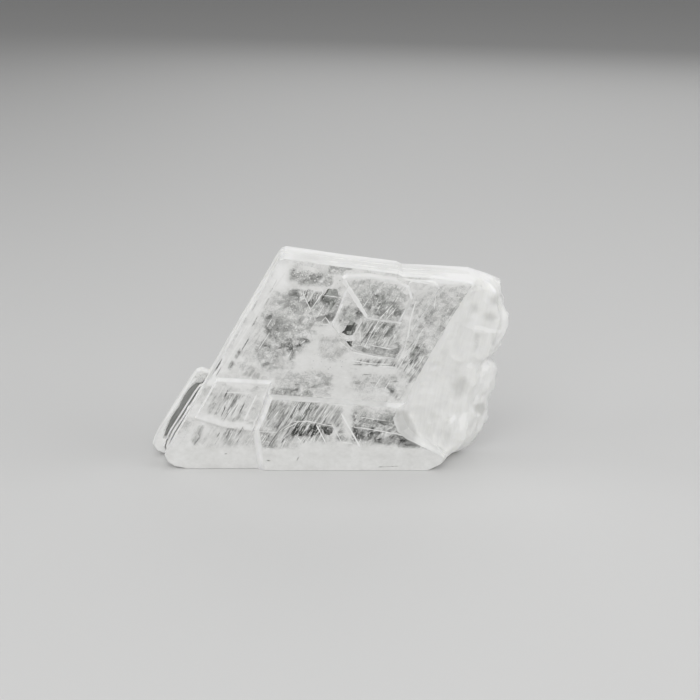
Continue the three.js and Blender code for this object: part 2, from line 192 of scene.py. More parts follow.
# Haze: how white it is (0 clear, 1 white, and brighter up to GLINT above that), how streaky (0 crumbs,
# 1 lines along the left side), how softly it ends, and its outline. Later ones lie over earlier ones.
GLINT = 0.3
HAZE = 0.80  # how white it is outside all of them
STREAK = 0.3  # and how streaky
HAZES = [
    # greyer and lighter areas that end softly
    (1.25, 0.4, 1.0, [
        (-31.0, 5.0), (-10.0, 46.0), (-7.8, 45.5), (-13.1, 37.9), (-23.2, 21.6), (-27.5, 5.0),
    ]),
    (0.66, 0.3, 1.5, [
        (16.9, 40.9), (30.3, 40.9), (25.0, 30.8), (19.7, 22.1), (16.0, 22.1), (14.9, 24.3), (17.6, 31.5),
        (17.8, 38.1),
    ]),
    (0.48, 0.2, 0.9, [(-9.7, 42.4), (-7.4, 44.6), (3.9, 43.3), (2.2, 40.9), (-5.7, 41.3), (-7.6, 42.2)]),
    (0.66, 0.2, 1.0, [(-12.9, 38.1), (-11.6, 40.7), (-9.1, 40.7), (-9.4, 35.9), (-13.6, 35.4)]),
    (0.80, 0.5, 1.2, [(-16.4, 31.5), (-13.0, 31.5), (-11.8, 28.1), (-14.0, 26.6), (-18.6, 26.6)]),
    (0.64, 0.2, 1.4, [(-5.3, 23.4), (1.1, 23.4), (0.7, 16.7), (-6.0, 17.1), (-10.2, 18.9), (-9.1, 21.6)]),
    (0.62, 0.1, 0.8, [
        (-11.9, 37.0), (-9.2, 40.4), (2.2, 40.4), (3.3, 38.1), (0.9, 33.2), (-3.5, 30.0), (-10.8, 29.0),
    ]),
    (0.55, 0.2, 0.5, [(4.7, 42.2), (11.0, 42.4), (15.2, 40.9), (16.3, 38.1), (15.7, 33.2), (8.7, 34.1)]),
    (0.70, 0.7, 0.8, [(-25.7, 18.9), (-16.7, 17.8), (-18.9, 10.6), (-26.0, 12.2)]),
    (0.70, 0.8, 1.0, [(-28.0, 10.0), (-16.4, 8.0), (-10.8, 8.0), (-9.8, 5.6), (-28.8, 5.2)]),
    (0.56, 0.8, 1.0, [(-13.4, 15.6), (0.6, 14.6), (-0.7, 6.6), (-9.0, 6.6), (-13.8, 10.0)]),
    (0.60, 0.3, 1.0, [(4.8, 14.0), (15.4, 13.0), (18.2, 9.1), (17.0, 6.0), (4.8, 6.2)]),
    (0.56, 0.4, 0.7, [(4.8, 28.6), (5.6, 31.0), (9.0, 34.0), (15.9, 33.0), (14.9, 27.4), (13.9, 24.3)]),
    (0.50, 0.3, 0.8, [
        (-15.2, 28.8), (-13.1, 29.3), (-11.2, 27.0), (-9.1, 26.6), (-8.0, 24.8), (-10.2, 22.5),
        (-14.0, 23.0), (-15.7, 25.9),
    ]),
    (0.50, 0.4, 0.8, [(-1.2, 25.9), (0.5, 29.3), (3.0, 30.1), (3.9, 27.0), (1.8, 24.3), (-0.8, 24.3)]),
    (0.50, 0.3, 0.6, [(2.2, 33.2), (3.0, 36.3), (5.2, 37.0), (7.7, 34.6), (6.0, 33.2), (3.7, 31.9)]),
    (0.50, 0.8, 0.4, [(5.6, 25.2), (14.9, 24.6), (15.0, 23.0), (6.9, 23.4)]),
    (0.36, 0.3, 0.6, [
        (-12.4, 18.0), (-9.8, 18.7), (-6.0, 16.9), (-2.8, 14.6), (-4.3, 13.2), (-8.1, 15.8), (-12.0, 16.2),
    ]),
    (0.50, 0.5, 0.8, [(-15.5, 8.9), (-12.9, 9.3), (-11.3, 5.2), (-6.1, 5.7), (-6.1, 4.5), (-14.3, 4.3)]),
    (0.50, 0.9, 0.5, [(17.1, 22.1), (18.8, 23.9), (20.1, 22.5), (18.8, 19.4), (17.1, 18.9)]),
    (0.62, 0.9, 0.5, [(-29.3, 9.8), (-26.7, 10.3), (-27.2, 6.6), (-29.0, 4.7), (-29.8, 6.6)]),
    (0.54, 0.9, 0.6, [(-21.8, 16.7), (-19.2, 17.6), (-18.9, 14.6), (-20.6, 11.6), (-22.3, 13.0)]),
    (0.65, 0.5, 0.6, [(-19.1, 23.4), (-17.4, 25.2), (-16.1, 24.3), (-15.3, 20.7), (-17.9, 21.2)]),
    (0.56, 0.2, 0.5, [(-0.3, 44.2), (1.0, 45.9), (5.1, 45.5), (4.7, 43.7), (0.5, 43.1)]),
    (0.50, 0.2, 0.5, [
        (-13.8, 34.8), (-11.1, 33.2), (-7.6, 28.1), (-5.9, 28.6), (-8.6, 31.5), (-11.3, 35.4),
    ]),
    # windows
    (0.50, 0.1, 0.35, [
        (-9.1, 38.7), (-8.3, 40.3), (-5.8, 40.5), (-5.6, 38.7), (-6.0, 37.0), (-6.6, 35.7), (-9.2, 36.3),
    ]),
    (0.02, 0.1, 0.35, [(-8.3, 38.5), (-7.6, 40.0), (-5.8, 40.3), (-5.8, 38.7)]),
    (0.40, 0.9, 0.35, [(-5.3, 39.8), (-3.9, 40.7), (-1.4, 39.6), (-2.4, 37.2), (-3.5, 35.9)]),
    (0.38, 0.8, 0.35, [(-0.3, 33.9), (0.7, 37.0), (2.2, 38.5), (3.3, 38.1), (0.9, 33.2)]),
    (0.02, 0.5, 0.35, [(-1.6, 37.9), (-0.9, 38.9), (2.2, 38.7), (1.2, 37.4), (0.3, 36.1)]),
    (0.00, 0.2, 0, [(-0.9, 38.9), (0.1, 40.5), (1.8, 40.3), (2.2, 38.9)]),
    (0.08, 0.2, 0.35, [(-13.4, 34.3), (-12.5, 35.2), (-11.7, 34.8), (-12.2, 33.2), (-13.2, 33.2)]),
    (0.34, 0.1, 0.35, [
        (-11.9, 33.7), (-10.0, 34.6), (-7.5, 33.5), (-7.7, 31.9), (-9.4, 31.5), (-8.6, 30.1), (-9.2, 29.3),
        (-11.1, 30.6),
    ]),
    (0.42, 0.1, 0.35, [
        (-8.6, 28.8), (-7.8, 30.4), (-5.9, 29.7), (-4.4, 30.1), (-3.5, 29.0), (-5.2, 27.9), (-6.3, 27.5),
        (-7.8, 28.1),
    ]),
    (0.36, 0.6, 0.35, [(-8.7, 25.5), (-7.8, 27.0), (-6.9, 27.0), (-7.0, 25.2), (-8.0, 24.6)]),
    (0.52, 0.3, 0.35, [(-13.3, 27.0), (-10.3, 27.7), (-9.5, 26.6), (-9.7, 24.6), (-12.3, 24.8)]),
    (0.56, 0.4, 0.35, [(-13.6, 24.3), (-10.4, 24.6), (-11.0, 23.0), (-13.2, 23.0)]),
    (0.42, 0.2, 0.35, [
        (6.4, 38.3), (9.4, 38.9), (13.1, 39.6), (15.2, 38.3), (15.7, 34.1), (10.2, 34.3), (7.3, 37.0),
    ]),
    (0.00, 0.0, 0, [(3.0, 30.6), (4.7, 33.7), (6.4, 32.6), (5.2, 30.4)]),
    (0.20, 0.2, 0.35, [(5.2, 35.7), (6.8, 36.1), (7.7, 35.4), (6.0, 35.0)]),
    (0.30, 1.0, 0.35, [(6.9, 28.6), (7.3, 33.0), (10.2, 33.2), (9.2, 30.4), (8.3, 28.4)]),
    (0.30, 0.7, 0.35, [(10.7, 29.9), (11.1, 32.6), (13.2, 33.0), (14.5, 31.7), (13.4, 29.7)]),
    (0.06, 0.1, 0, [(3.2, 29.0), (5.2, 29.0), (4.9, 27.7)]),
    (0.50, 0.2, 0.35, [
        (5.2, 27.0), (5.4, 28.6), (14.3, 27.0), (14.9, 29.0), (15.5, 28.1), (14.9, 25.2), (9.0, 25.9),
    ]),
    (0.30, 0.9, 0.35, [(17.1, 24.1), (17.5, 27.0), (18.5, 28.1), (19.8, 27.7), (19.0, 24.8), (17.9, 23.4)]),
    (0.56, 0.3, 0.4, [(20.4, 32.6), (19.9, 36.8), (21.8, 37.6), (22.5, 32.8)]),
    (0.60, 0.3, 0.4, [(23.7, 33.7), (23.9, 37.0), (26.2, 38.1), (26.8, 35.9), (25.2, 33.2)]),
    (0.33, 0.3, 0.35, [(-11.7, 17.3), (-10.2, 18.3), (-6.2, 18.5), (-6.0, 17.1), (-9.0, 17.1)]),
    (0.06, 0.3, 0.35, [(-5.5, 17.1), (-4.7, 18.0), (-3.0, 17.1), (-3.6, 16.4)]),
    (0.58, 0.9, 0.35, [(-12.5, 13.0), (-11.1, 15.3), (-9.6, 15.5), (-10.3, 13.0), (-11.6, 11.6)]),
    (0.29, 1.0, 0.35, [(-8.8, 12.1), (-6.8, 15.5), (-3.2, 15.3), (-4.1, 11.2), (-6.9, 11.0)]),
    (0.44, 1.0, 0.35, [(-4.1, 11.2), (-2.6, 14.8), (0.4, 13.5), (-0.2, 10.3)]),
    (0.16, 1.0, 0.35, [(-8.2, 7.8), (-6.7, 10.7), (-2.4, 10.3), (-0.9, 8.0), (-5.2, 7.4)]),
    (0.08, 0.0, 0, [(-1.7, 10.2), (0.6, 10.2), (1.3, 9.1), (0.3, 7.6), (-0.7, 7.8)]),
    (0.46, 0.3, 0.35, [(1.5, 7.5), (2.4, 9.6), (4.1, 8.7), (4.7, 6.6), (2.6, 6.6)]),
    (0.42, 0.2, 0.35, [
        (5.4, 13.2), (6.9, 12.8), (10.3, 11.9), (14.4, 12.1), (15.7, 10.3), (17.9, 9.1), (17.3, 6.6),
        (15.5, 5.0), (11.2, 5.7), (9.1, 6.8), (6.0, 6.6), (5.2, 9.3),
    ]),
    (0.30, 0.1, 0.35, [(5.4, 8.2), (5.8, 9.3), (9.0, 9.3), (10.8, 8.7), (9.3, 8.2), (6.9, 7.5)]),
    (0.60, 0.9, 0.35, [(-22.7, 7.3), (-22.2, 9.3), (-20.5, 9.6), (-19.6, 8.4), (-21.0, 7.0)]),
    (0.32, 0.9, 0.35, [(-19.9, 25.5), (-19.0, 27.2), (-18.4, 26.8), (-19.3, 25.0)]),
    (0.38, 0.9, 0.35, [(-21.5, 22.8), (-20.4, 24.8), (-19.5, 24.6), (-20.8, 22.5)]),
    (0.62, 0.2, 0.35, [
        (5.4, 18.0), (6.0, 20.1), (12.0, 19.6), (14.1, 19.2), (15.0, 16.7), (13.3, 17.6), (9.0, 17.3),
    ]),
    (0.36, 0.6, 0.35, [(12.0, 19.2), (12.7, 19.2), (15.6, 15.4), (15.0, 15.5)]),
    (0.20, 0.3, 0.5, [(14.6, 11.6), (17.2, 13.0), (18.5, 10.3), (17.2, 8.4), (15.1, 8.9)]),
    (0.36, 0.2, 0.5, [(9.8, 36.8), (13.1, 37.4), (13.6, 33.7), (10.2, 34.1)]),
    (0.40, 0.2, 0.5, [(6.8, 39.8), (8.1, 41.1), (10.2, 40.3), (9.8, 38.5), (7.7, 38.3)]),
    # white patches over them
    # painted highlights: the first three are white haze drawn brighter than white along the bottom, right and
    # top rims of the small window's terrace
    (1.15, 0.1, 0.35, [
        (-30.1, 12.1), (-29.2, 14.8), (-27.6, 15.3), (-27.1, 13.0), (-24.7, 12.3), (-22.8, 11.2),
        (-18.3, 10.7), (-16.6, 10.0), (-16.2, 8.7), (-19.0, 9.1), (-23.3, 9.8), (-26.5, 11.2),
        (-28.4, 11.4),
    ]),
    (1.25, 0.1, 0.25, [
        (-12.1, 20.3), (-11.5, 20.3), (-13.0, 16.4), (-13.7, 13.5), (-14.6, 10.7), (-16.0, 8.7),
        (-16.4, 9.3), (-15.3, 11.6), (-14.4, 13.9), (-13.7, 16.7),
    ]),
    (1.10, 0.1, 0.30, [
        (-23.2, 20.7), (-20.9, 20.3), (-18.3, 19.8), (-16.0, 19.2), (-16.0, 18.5), (-18.8, 18.7),
        (-21.3, 19.4), (-23.5, 19.8),
    ]),
    (0.85, 0.1, 0.20, [(-20.5, 17.8), (-16.7, 17.6), (-16.7, 17.1), (-20.5, 17.3)]),
    (1.05, 0.1, 0.20, [(-16.7, 14.8), (-16.3, 14.6), (-17.6, 11.2), (-18.3, 11.2)]),
    (0.84, 0.2, 0.25, [
        (-11.9, 16.6), (-6.0, 16.0), (4.7, 15.3), (12.0, 14.9), (12.0, 14.4), (4.7, 14.8), (-11.6, 15.9),
    ]),
    (0.97, 0.2, 0.5, [
        (-8.9, 42.2), (-6.6, 42.2), (-6.0, 41.1), (-1.1, 40.9), (-1.4, 40.0), (-5.1, 40.5), (-8.9, 40.7),
    ]),
    (0.97, 0.1, 0.7, [
        (-3.1, 32.2), (2.0, 32.4), (2.0, 28.4), (3.7, 26.8), (5.2, 26.4), (5.2, 22.1), (-7.6, 22.1),
        (-6.1, 26.2), (-3.5, 28.0), (-2.0, 30.6),
    ]),
    (0.94, 0.2, 0.8, [(1.1, 24.8), (4.9, 24.8), (4.9, 5.4), (2.4, 10.2), (0.9, 10.6)]),
    (0.94, 0.2, 0.7, [(5.2, 24.1), (15.0, 22.8), (15.0, 21.0), (12.0, 20.5), (5.2, 21.2)]),
    (0.74, 0.4, 0.6, [(-2.0, 30.6), (3.7, 30.1), (4.1, 26.6), (1.5, 24.3), (-2.1, 24.8)]),
    (0.72, 0.3, 0.5, [(7.3, 21.6), (14.5, 21.6), (15.0, 18.9), (7.7, 19.4)]),
    (0.92, 0.2, 0.4, [(0.8, 43.7), (3.9, 43.3), (3.1, 41.1), (1.2, 41.1)]),
    (0.80, 0.0, 0.3, [
        (-12.4, 16.9), (-6.0, 16.4), (4.7, 15.6), (12.7, 15.1), (12.5, 14.4), (4.7, 14.9), (-6.8, 15.6),
    ]),
    # lighter and darker areas over all of them
    (1.30, 0.1, 0.5, [
        (21.7, 43.3), (23.5, 43.7), (29.8, 43.7), (30.7, 42.6), (30.5, 41.6), (21.9, 41.4), (21.1, 42.2),
    ]),
    (0.85, 0.1, 0.5, [(3.4, 44.2), (15.2, 43.1), (16.7, 41.9), (4.4, 42.6)]),
    (1.00, 0.1, 1.2, [
        (-36.4, 5.0), (-26.6, 4.8), (-12.6, 4.5), (-6.1, 4.8), (-2.2, 5.5), (3.7, 5.0), (9.5, 4.8),
        (16.1, 4.8), (19.2, 8.0), (18.9, 10.0), (16.2, 12.6), (15.7, 15.3), (16.8, 18.5), (19.4, 20.9),
        (18.4, 16.8), (29.9, 38.1), (41.0, 38.0), (41.0, -3.0), (-36.4, -3.0),
    ]),
    (0.30, 0.2, 0.8, [(14.2, 13.0), (17.6, 11.6), (19.8, 7.5), (21.4, 4.8), (15.5, 5.0), (14.0, 9.3)]),
    (1.30, 0.3, 0.5, [
        (-26.6, 19.4), (-26.4, 21.0), (-24.0, 26.0), (-21.8, 25.4), (-23.6, 21.0), (-24.4, 19.0),
    ]),
    (0.78, 0.5, 0.6, [(-27.2, 15.0), (-26.8, 18.4), (-24.6, 18.4), (-24.9, 15.0)]),
    (0.40, 0.2, 0.7, [
        (-13.8, 33.2), (-11.7, 34.1), (-9.0, 29.7), (-5.4, 28.1), (-5.9, 26.6), (-10.1, 27.0),
        (-13.0, 30.4),
    ]),
    (0.78, 0.3, 0.6, [(-10.6, 25.7), (-8.4, 25.9), (-8.2, 23.2), (-10.6, 23.2)]),
    (0.90, 0.7, 0.8, [(-26.7, 8.7), (-22.9, 8.7), (-23.0, 5.2), (-26.8, 5.2)]),
    (0.55, 0.8, 0.7, [(-1.3, 15.0), (2.9, 14.6), (3.2, 9.0), (0.4, 10.4)]),
    (0.74, 0.3, 0.6, [(3.9, 41.8), (8.7, 41.8), (8.7, 40.0), (4.9, 39.6)]),
    (0.86, 0.3, 0.7, [(17.4, 41.3), (20.9, 41.3), (20.9, 38.7), (17.9, 38.7)]),
    (1.20, 0.2, 0.8, [(-11.2, 45.0), (-8.6, 45.0), (-8.0, 41.2), (-9.0, 40.3), (-12.0, 40.3)]),
]
# The haze lies on the broad faces, each with this share of how white it is, and in veils inside, each
# with its name, its depth and its share.
FACE_SHARE = 0.8
INNER_VEILS = [("veil_middle", 2.6, 0.2), ("veil_deep", 7.0, 0.15)]
VEIL_THICKNESS = 0.02
VEIL_SPACING = 1.0
FACE_SPACING = 0.55
LEFT_SPACING = 0.3
UNEVEN = 0.3  # share of the spacing that a point strays by
VEIL_MARGIN = 0.7  # kept between an inner veil and the crystal's sides
BREAK_MARGIN = 2.0  # and this much more on the broken side, which slopes and is hollowed
LEFT_MARGIN = 0.5  # kept between the haze on a left sheet and its edge
FACE_GAP = 0.01  # kept between the haze on a face and the face
FILM_HEIGHT = FACE_GAP + VEIL_THICKNESS  # a terrace is lower by this, so that its haze ends at its Y
HIGHER = 0.1  # a terrace this much higher cuts away the haze below it
CLEAR = 0.02  # haze thinner than this is left out
WHOLE = 0.998  # the most that haze covers
# The outlines of these areas are jagged: the lengths they are cut into, how fast that changes, and how far.
JAG_LENGTH = 0.35
JAGS = [(0.8, 0.3), (2.6, 0.12)]

# The haze on the three left sheets, as above, from the outermost inwards. Each one's first lies all over it.
AROUND_LEFT_SHEETS = [(-40.0, 0.0), (-40.0, 6.0), (-28.0, 24.0), (-22.0, 22.0), (-24.0, 0.0)]
LEFT_HAZES = [
    [
        (1.15, 0.1, 0.2, AROUND_LEFT_SHEETS),
        (0.50, 0.2, 0.5, [(-29.6, 18.6), (-26.4, 19.6), (-24.0, 19.6), (-24.0, 16.8), (-28.6, 17.6)]),
        (0.00, 0.2, 0.12, [
            (-36.6, 4.1), (-36.2, 6.0), (-34.9, 8.9), (-33.3, 11.3), (-32.1, 13.6), (-30.7, 15.9),
            (-29.2, 17.4), (-28.0, 18.0), (-26.0, 17.6), (-24.0, 14.0), (-30.0, 4.1),
        ]),
    ],
    [
        (0.62, 1.0, 0.2, AROUND_LEFT_SHEETS),
        (1.20, 0.4, 0.1, [
            (-34.9, 4.0), (-34.3, 6.0), (-28.3, 16.9), (-27.8, 16.6), (-34.0, 5.6), (-34.5, 4.0),
        ]),
        (0.00, 0.6, 0.1, [(-28.3, 16.2), (-27.4, 16.0), (-30.2, 11.8), (-30.4, 12.6)]),
        (0.05, 0.6, 0.1, [(-31.4, 11.4), (-31.1, 11.2), (-33.2, 7.2), (-33.2, 7.8)]),
        (1.10, 0.6, 0.5, [(-38.0, 0.0), (-38.0, 3.6), (-35.0, 4.2), (-24.0, 3.6), (-24.0, 0.0)]),
    ],
    [
        (0.62, 1.0, 0.2, AROUND_LEFT_SHEETS),
        (0.05, 0.6, 0.1, [(-33.6, 5.2), (-32.2, 6.6), (-32.2, 7.4), (-33.4, 6.2)]),
        (0.10, 0.6, 0.1, [(-30.0, 10.2), (-29.7, 10.0), (-31.8, 6.2), (-31.9, 6.8)]),
        (1.10, 0.6, 0.5, [(-38.0, 0.0), (-38.0, 3.6), (-34.0, 4.6), (-24.0, 4.6), (-24.0, 0.0)]),
    ],
]
# A veil inside the outermost of them, behind its window: its depth from the sheet's front, and its outline.
LEFT_VEIL_DEPTH = 1.0
LEFT_VEIL = [
    (-36.4, 4.4), (-35.9, 6.0), (-34.6, 8.9), (-32.9, 11.3), (-31.8, 13.6), (-30.4, 15.6), (-29.0, 16.8),
    (-27.0, 17.0), (-28.0, 12.0), (-33.0, 4.4),
]

# How milky the rims, the top and the broken side are, as above but all of them soft and none streaky,
# and SIDE_MILK elsewhere. Places are given where they show through the front plane.
SIDE_MILK = 0.65
SIDE_HAZES = [
    (0.85, 0.60, [
        (-30.5, 10.5), (-22.0, 8.0), (-14.0, 7.5), (-10.5, 21.5), (-13.5, 20.6), (-14.5, 17.0),
        (-18.0, 19.0), (-19.0, 22.5), (-26.0, 22.5),
    ]),
    (0.85, 0.60, [(0.0, 24.0), (16.0, 24.0), (16.0, 45.0), (0.0, 45.0)]),
    (0.30, 0.40, [(3.4, 44.4), (15.2, 43.3), (16.9, 42.1), (16.6, 41.4), (4.4, 42.4)]),
    (0.25, 0.40, [
        (-13.4, 17.4), (-6.0, 16.8), (4.7, 16.0), (12.7, 15.5), (12.5, 14.0), (4.7, 14.5), (-11.6, 15.6),
    ]),
    (0.75, 0.60, [(-18.0, -1.0), (-13.2, -1.0), (-12.2, 9.5), (-16.5, 9.5)]),
    (0.00, 0.60, [(14.2, 13.4), (16.6, 13.2), (18.6, 10.0), (19.6, 6.5), (15.5, 5.0)]),
    (0.45, 0.80, [(17.4, 14.0), (19.6, 8.0), (23.0, 4.0), (26.0, 4.5), (27.0, 9.0), (22.0, 14.0)]),
    (0.35, 0.60, [(-7.5, 46.4), (12.0, 44.6), (22.0, 44.0), (22.0, 46.0), (12.0, 46.8), (-7.0, 48.6)]),
    (1.10, 0.50, [
        (-9.5, 51.0), (2.4, 49.4), (14.6, 47.8), (27.0, 46.4), (33.0, 45.4), (33.0, 44.2), (27.0, 45.2),
        (14.6, 46.8), (2.4, 48.2), (-9.5, 49.8),
    ]),
    (1.30, 0.40, [
        (21.7, 43.3), (23.5, 44.0), (29.8, 43.9), (30.9, 42.6), (30.5, 41.6), (21.9, 41.4), (21.1, 42.2),
    ]),
    (1.20, 0.50, [(25.5, 0.5), (33.0, 3.5), (34.0, 6.5), (29.0, 4.5), (25.5, 3.0)]),
    (0.12, 0.90, [(-5.1, 48.3), (-1.9, 48.0), (-1.3, 46.5), (-4.9, 46.5)]),
    (1.20, 0.60, [
        (29.8, 45.0), (34.0, 43.9), (36.6, 42.0), (36.4, 39.8), (34.9, 40.3), (33.6, 42.4), (29.8, 43.5),
    ]),
    (1.15, 0.60, [
        (36.2, 38.9), (37.7, 38.1), (38.3, 31.5), (36.5, 28.1), (35.9, 29.3), (37.0, 32.6), (36.7, 37.0),
    ]),
    (1.30, 0.25, [
        (31.1, 32.4), (32.6, 32.4), (34.3, 31.7), (36.4, 31.5), (36.5, 31.0), (34.1, 31.0), (32.2, 31.7),
        (31.1, 31.7),
    ]),
    (0.10, 0.80, [(33.0, 35.2), (34.6, 35.4), (35.7, 34.3), (34.9, 33.5), (33.4, 33.9)]),
    (0.20, 0.80, [(34.1, 38.7), (35.8, 38.9), (35.6, 37.4), (34.4, 37.4)]),
    (0.30, 0.80, [(30.0, 37.2), (31.6, 37.4), (31.7, 35.4), (30.2, 35.4)]),
    (0.25, 0.50, [(31.2, 30.8), (32.0, 31.0), (31.9, 27.9), (31.1, 26.6)]),
    (0.25, 0.40, [(34.8, 30.8), (35.4, 30.8), (35.3, 28.1), (34.6, 28.4)]),
    (1.20, 0.40, [(32.8, 23.4), (33.9, 24.6), (34.9, 23.9), (33.9, 22.3), (33.1, 22.3)]),
    (1.30, 0.25, [(29.9, 23.2), (30.3, 24.3), (30.7, 24.3), (30.3, 22.8)]),
    (0.25, 1.00, [(26.7, 19.2), (28.8, 21.4), (29.9, 20.3), (28.7, 16.7), (27.2, 16.0)]),
    (0.05, 0.50, [(31.1, 14.4), (33.5, 14.8), (33.9, 13.2), (33.1, 11.9), (31.6, 13.0)]),
    (1.30, 0.20, [(31.5, 15.5), (31.7, 16.4), (32.1, 16.7), (32.2, 15.8)]),
    (1.20, 0.40, [(28.2, 11.2), (29.2, 12.6), (29.9, 12.6), (29.1, 8.9), (28.5, 8.7)]),
    (0.30, 0.40, [(23.5, 7.5), (24.4, 8.9), (24.8, 8.4), (23.7, 7.0)]),
    (0.30, 0.30, [(25.2, 10.0), (25.8, 11.6), (26.2, 11.4), (25.4, 9.6)]),
    (1.20, 0.30, [(26.2, 11.2), (27.3, 12.1), (27.5, 11.4), (26.5, 10.3)]),
]

# Cracks that catch the light, and painted highlights along terrace rims: width, how white they are, as above,
# and route.
CRACKS_AND_RIM_HIGHLIGHTS = [
    # painted highlights: the first two are white ribbons drawn brighter than white along the left and lower
    # rims of the terrace at -5.95, which face down and away from the lamps
    (0.85, 1.3, [(3.2, 42.6), (8.4, 34.0)]),
    (0.42, 1.25, [(8.2, 34.15), (12.0, 33.5), (15.8, 33.0)]),
    (0.32, 1.3, [(16.9, 41.6), (17.7, 42.2), (21.5, 41.6)]),
    (0.32, 1.1, [(18.6, 38.1), (17.4, 33.7), (17.0, 30.4), (16.2, 27.0), (14.9, 24.3)]),
    (0.14, 1.10, [(20.4, 32.1), (14.7, 22.5)]),
    (0.12, 1.10, [(17.7, 27.9), (14.7, 24.3)]),
    (0.19, 1.10, [(13.8, 37.2), (11.1, 34.1), (9.0, 30.4), (8.1, 28.1)]),
    (0.12, 1.10, [(14.4, 36.3), (9.8, 30.8)]),
    (0.15, 1.10, [(7.3, 33.5), (5.2, 29.9)]),
    (0.15, 1.10, [(6.8, 31.5), (6.9, 28.6)]),
    (0.15, 1.10, [(9.0, 28.1), (13.6, 27.2)]),
    (0.32, 1.3, [(5.2, 26.6), (9.4, 25.7), (14.3, 25.0)]),
    (0.19, 1.10, [(10.7, 23.4), (14.3, 23.2)]),
    (0.19, 1.10, [(4.7, 24.8), (9.4, 23.9), (14.1, 23.9)]),
    (0.17, 1.10, [(2.2, 32.6), (2.2, 30.1)]),
    (0.17, 1.10, [(2.2, 29.9), (4.7, 29.5)]),
    (0.17, 1.10, [(2.4, 29.0), (4.7, 27.0)]),
    (0.17, 1.10, [(0.7, 32.6), (-2.0, 32.8)]),
    (0.32, 1.3, [(0.7, 32.6), (3.3, 37.4)]),
    (0.17, 1.10, [(0.7, 32.6), (-0.5, 34.3), (-1.4, 33.2)]),
    (0.19, 1.10, [(-5.3, 39.8), (-3.5, 35.7)]),
    (0.19, 1.10, [(-3.5, 36.1), (-0.9, 39.8), (-1.6, 40.9)]),
    (0.14, 1.10, [(-0.7, 37.0), (-2.4, 34.1)]),
    (0.15, 1.10, [(-0.9, 39.1), (2.2, 38.7)]),
    (0.17, 1.10, [(-11.7, 34.1), (-13.0, 31.9)]),
    (0.15, 1.10, [(-7.6, 27.2), (-8.7, 25.0)]),
    (0.15, 1.10, [(-12.2, 31.0), (-14.8, 27.0)]),
    (0.15, 1.10, [(-5.9, 28.4), (-4.6, 29.3)]),
    (0.29, 1.3, [(-15.2, 17.1), (-18.1, 11.0)]),
    (0.19, 1.10, [(-18.8, 15.8), (-21.5, 12.1)]),
    (0.19, 1.10, [(-18.4, 16.4), (-19.7, 13.5)]),
    (0.15, 1.10, [(-22.7, 17.6), (-16.2, 17.3)]),
    (0.12, 0.90, [(-16.4, 8.7), (-10.8, 8.4)]),
    (0.12, 0.90, [(-10.8, 8.4), (-7.6, 10.9)]),
    (0.16, 1.10, [(-7.6, 10.9), (-4.5, 11.0), (1.1, 9.8)]),
    (0.25, 1.3, [(-2.6, 10.3), (-0.5, 5.9)]),
    (0.19, 1.10, [(1.3, 9.3), (3.0, 5.9)]),
    (0.32, 1.3, [(2.8, 12.8), (6.9, 5.0)]),
    (0.15, 1.10, [(3.7, 9.3), (5.6, 6.3)]),
    (0.15, 1.10, [(-6.7, 7.5), (-5.6, 5.9)]),
    (0.25, 1.3, [(3.0, 6.1), (5.4, 5.9)]),
    (0.19, 1.10, [(5.4, 9.6), (8.0, 9.3), (15.1, 8.0), (16.4, 7.5)]),
    (0.15, 1.10, [(6.9, 11.9), (12.7, 11.0)]),
    (0.14, 1.10, [(7.3, 7.5), (9.5, 8.7)]),
    (0.17, 1.10, [(-6.0, 15.3), (-7.7, 11.9)]),
    (0.15, 1.10, [(-4.1, 15.3), (-5.8, 11.9)]),
    (0.15, 1.10, [(-6.9, 14.8), (-8.6, 11.6)]),
    (0.15, 1.10, [(-9.7, 8.9), (-6.0, 11.0)]),
    (0.15, 1.10, [(9.9, 18.5), (11.3, 21.0)]),
    (0.15, 1.10, [(12.0, 18.0), (13.3, 20.3)]),
    (0.70, 1.3, [(30.7, 41.1), (24.6, 30.4), (18.4, 17.8)]),
    (0.15, 1.10, [(25.7, 27.9), (21.8, 20.7), (19.3, 16.7)]),
    (0.14, 1.10, [(15.2, 39.8), (16.7, 41.6)]),
    (0.14, 1.10, [(13.5, 41.8), (16.9, 41.1)]),
    (0.15, 1.10, [(22.8, 40.3), (22.4, 35.9)]),
    (0.15, 1.10, [(28.0, 40.5), (27.4, 38.9)]),
    (0.32, 1.1, [(-7.8, 45.5), (-13.1, 37.9), (-23.2, 21.6)]),
    # dark ones
    (0.16, 0.0, [(-16.6, 41.0), (-13.6, 46.0)]),
    (0.13, 0.1, [(-20.2, 34.6), (-17.6, 39.0)]),
    (0.16, 0.0, [(-25.2, 20.8), (-22.4, 25.2)]),
    (0.13, 0.1, [(-24.0, 21.0), (-22.6, 23.4)]),
    (0.15, 0.1, [(-28.6, 15.2), (-26.6, 18.8)]),
    (0.22, 0.2, [(-18.4, 26.8), (-16.6, 29.8)]),
    (0.28, 0.2, [(-22.6, 3.3), (-21.8, 3.5)]),
    (0.28, 0.1, [(-13.4, 2.0), (-12.4, 1.8)]),
    (0.25, 0.2, [(-6.9, 1.8), (-6.2, 3.0)]),
    (0.13, 0.4, [(10.6, 0.4), (15.4, 0.6)]),
]
CRACK_LENGTH = 0.7  # between points along a crack
CRACK_CHANGE = (1.3, 0.7)  # how fast its width changes, and by what share

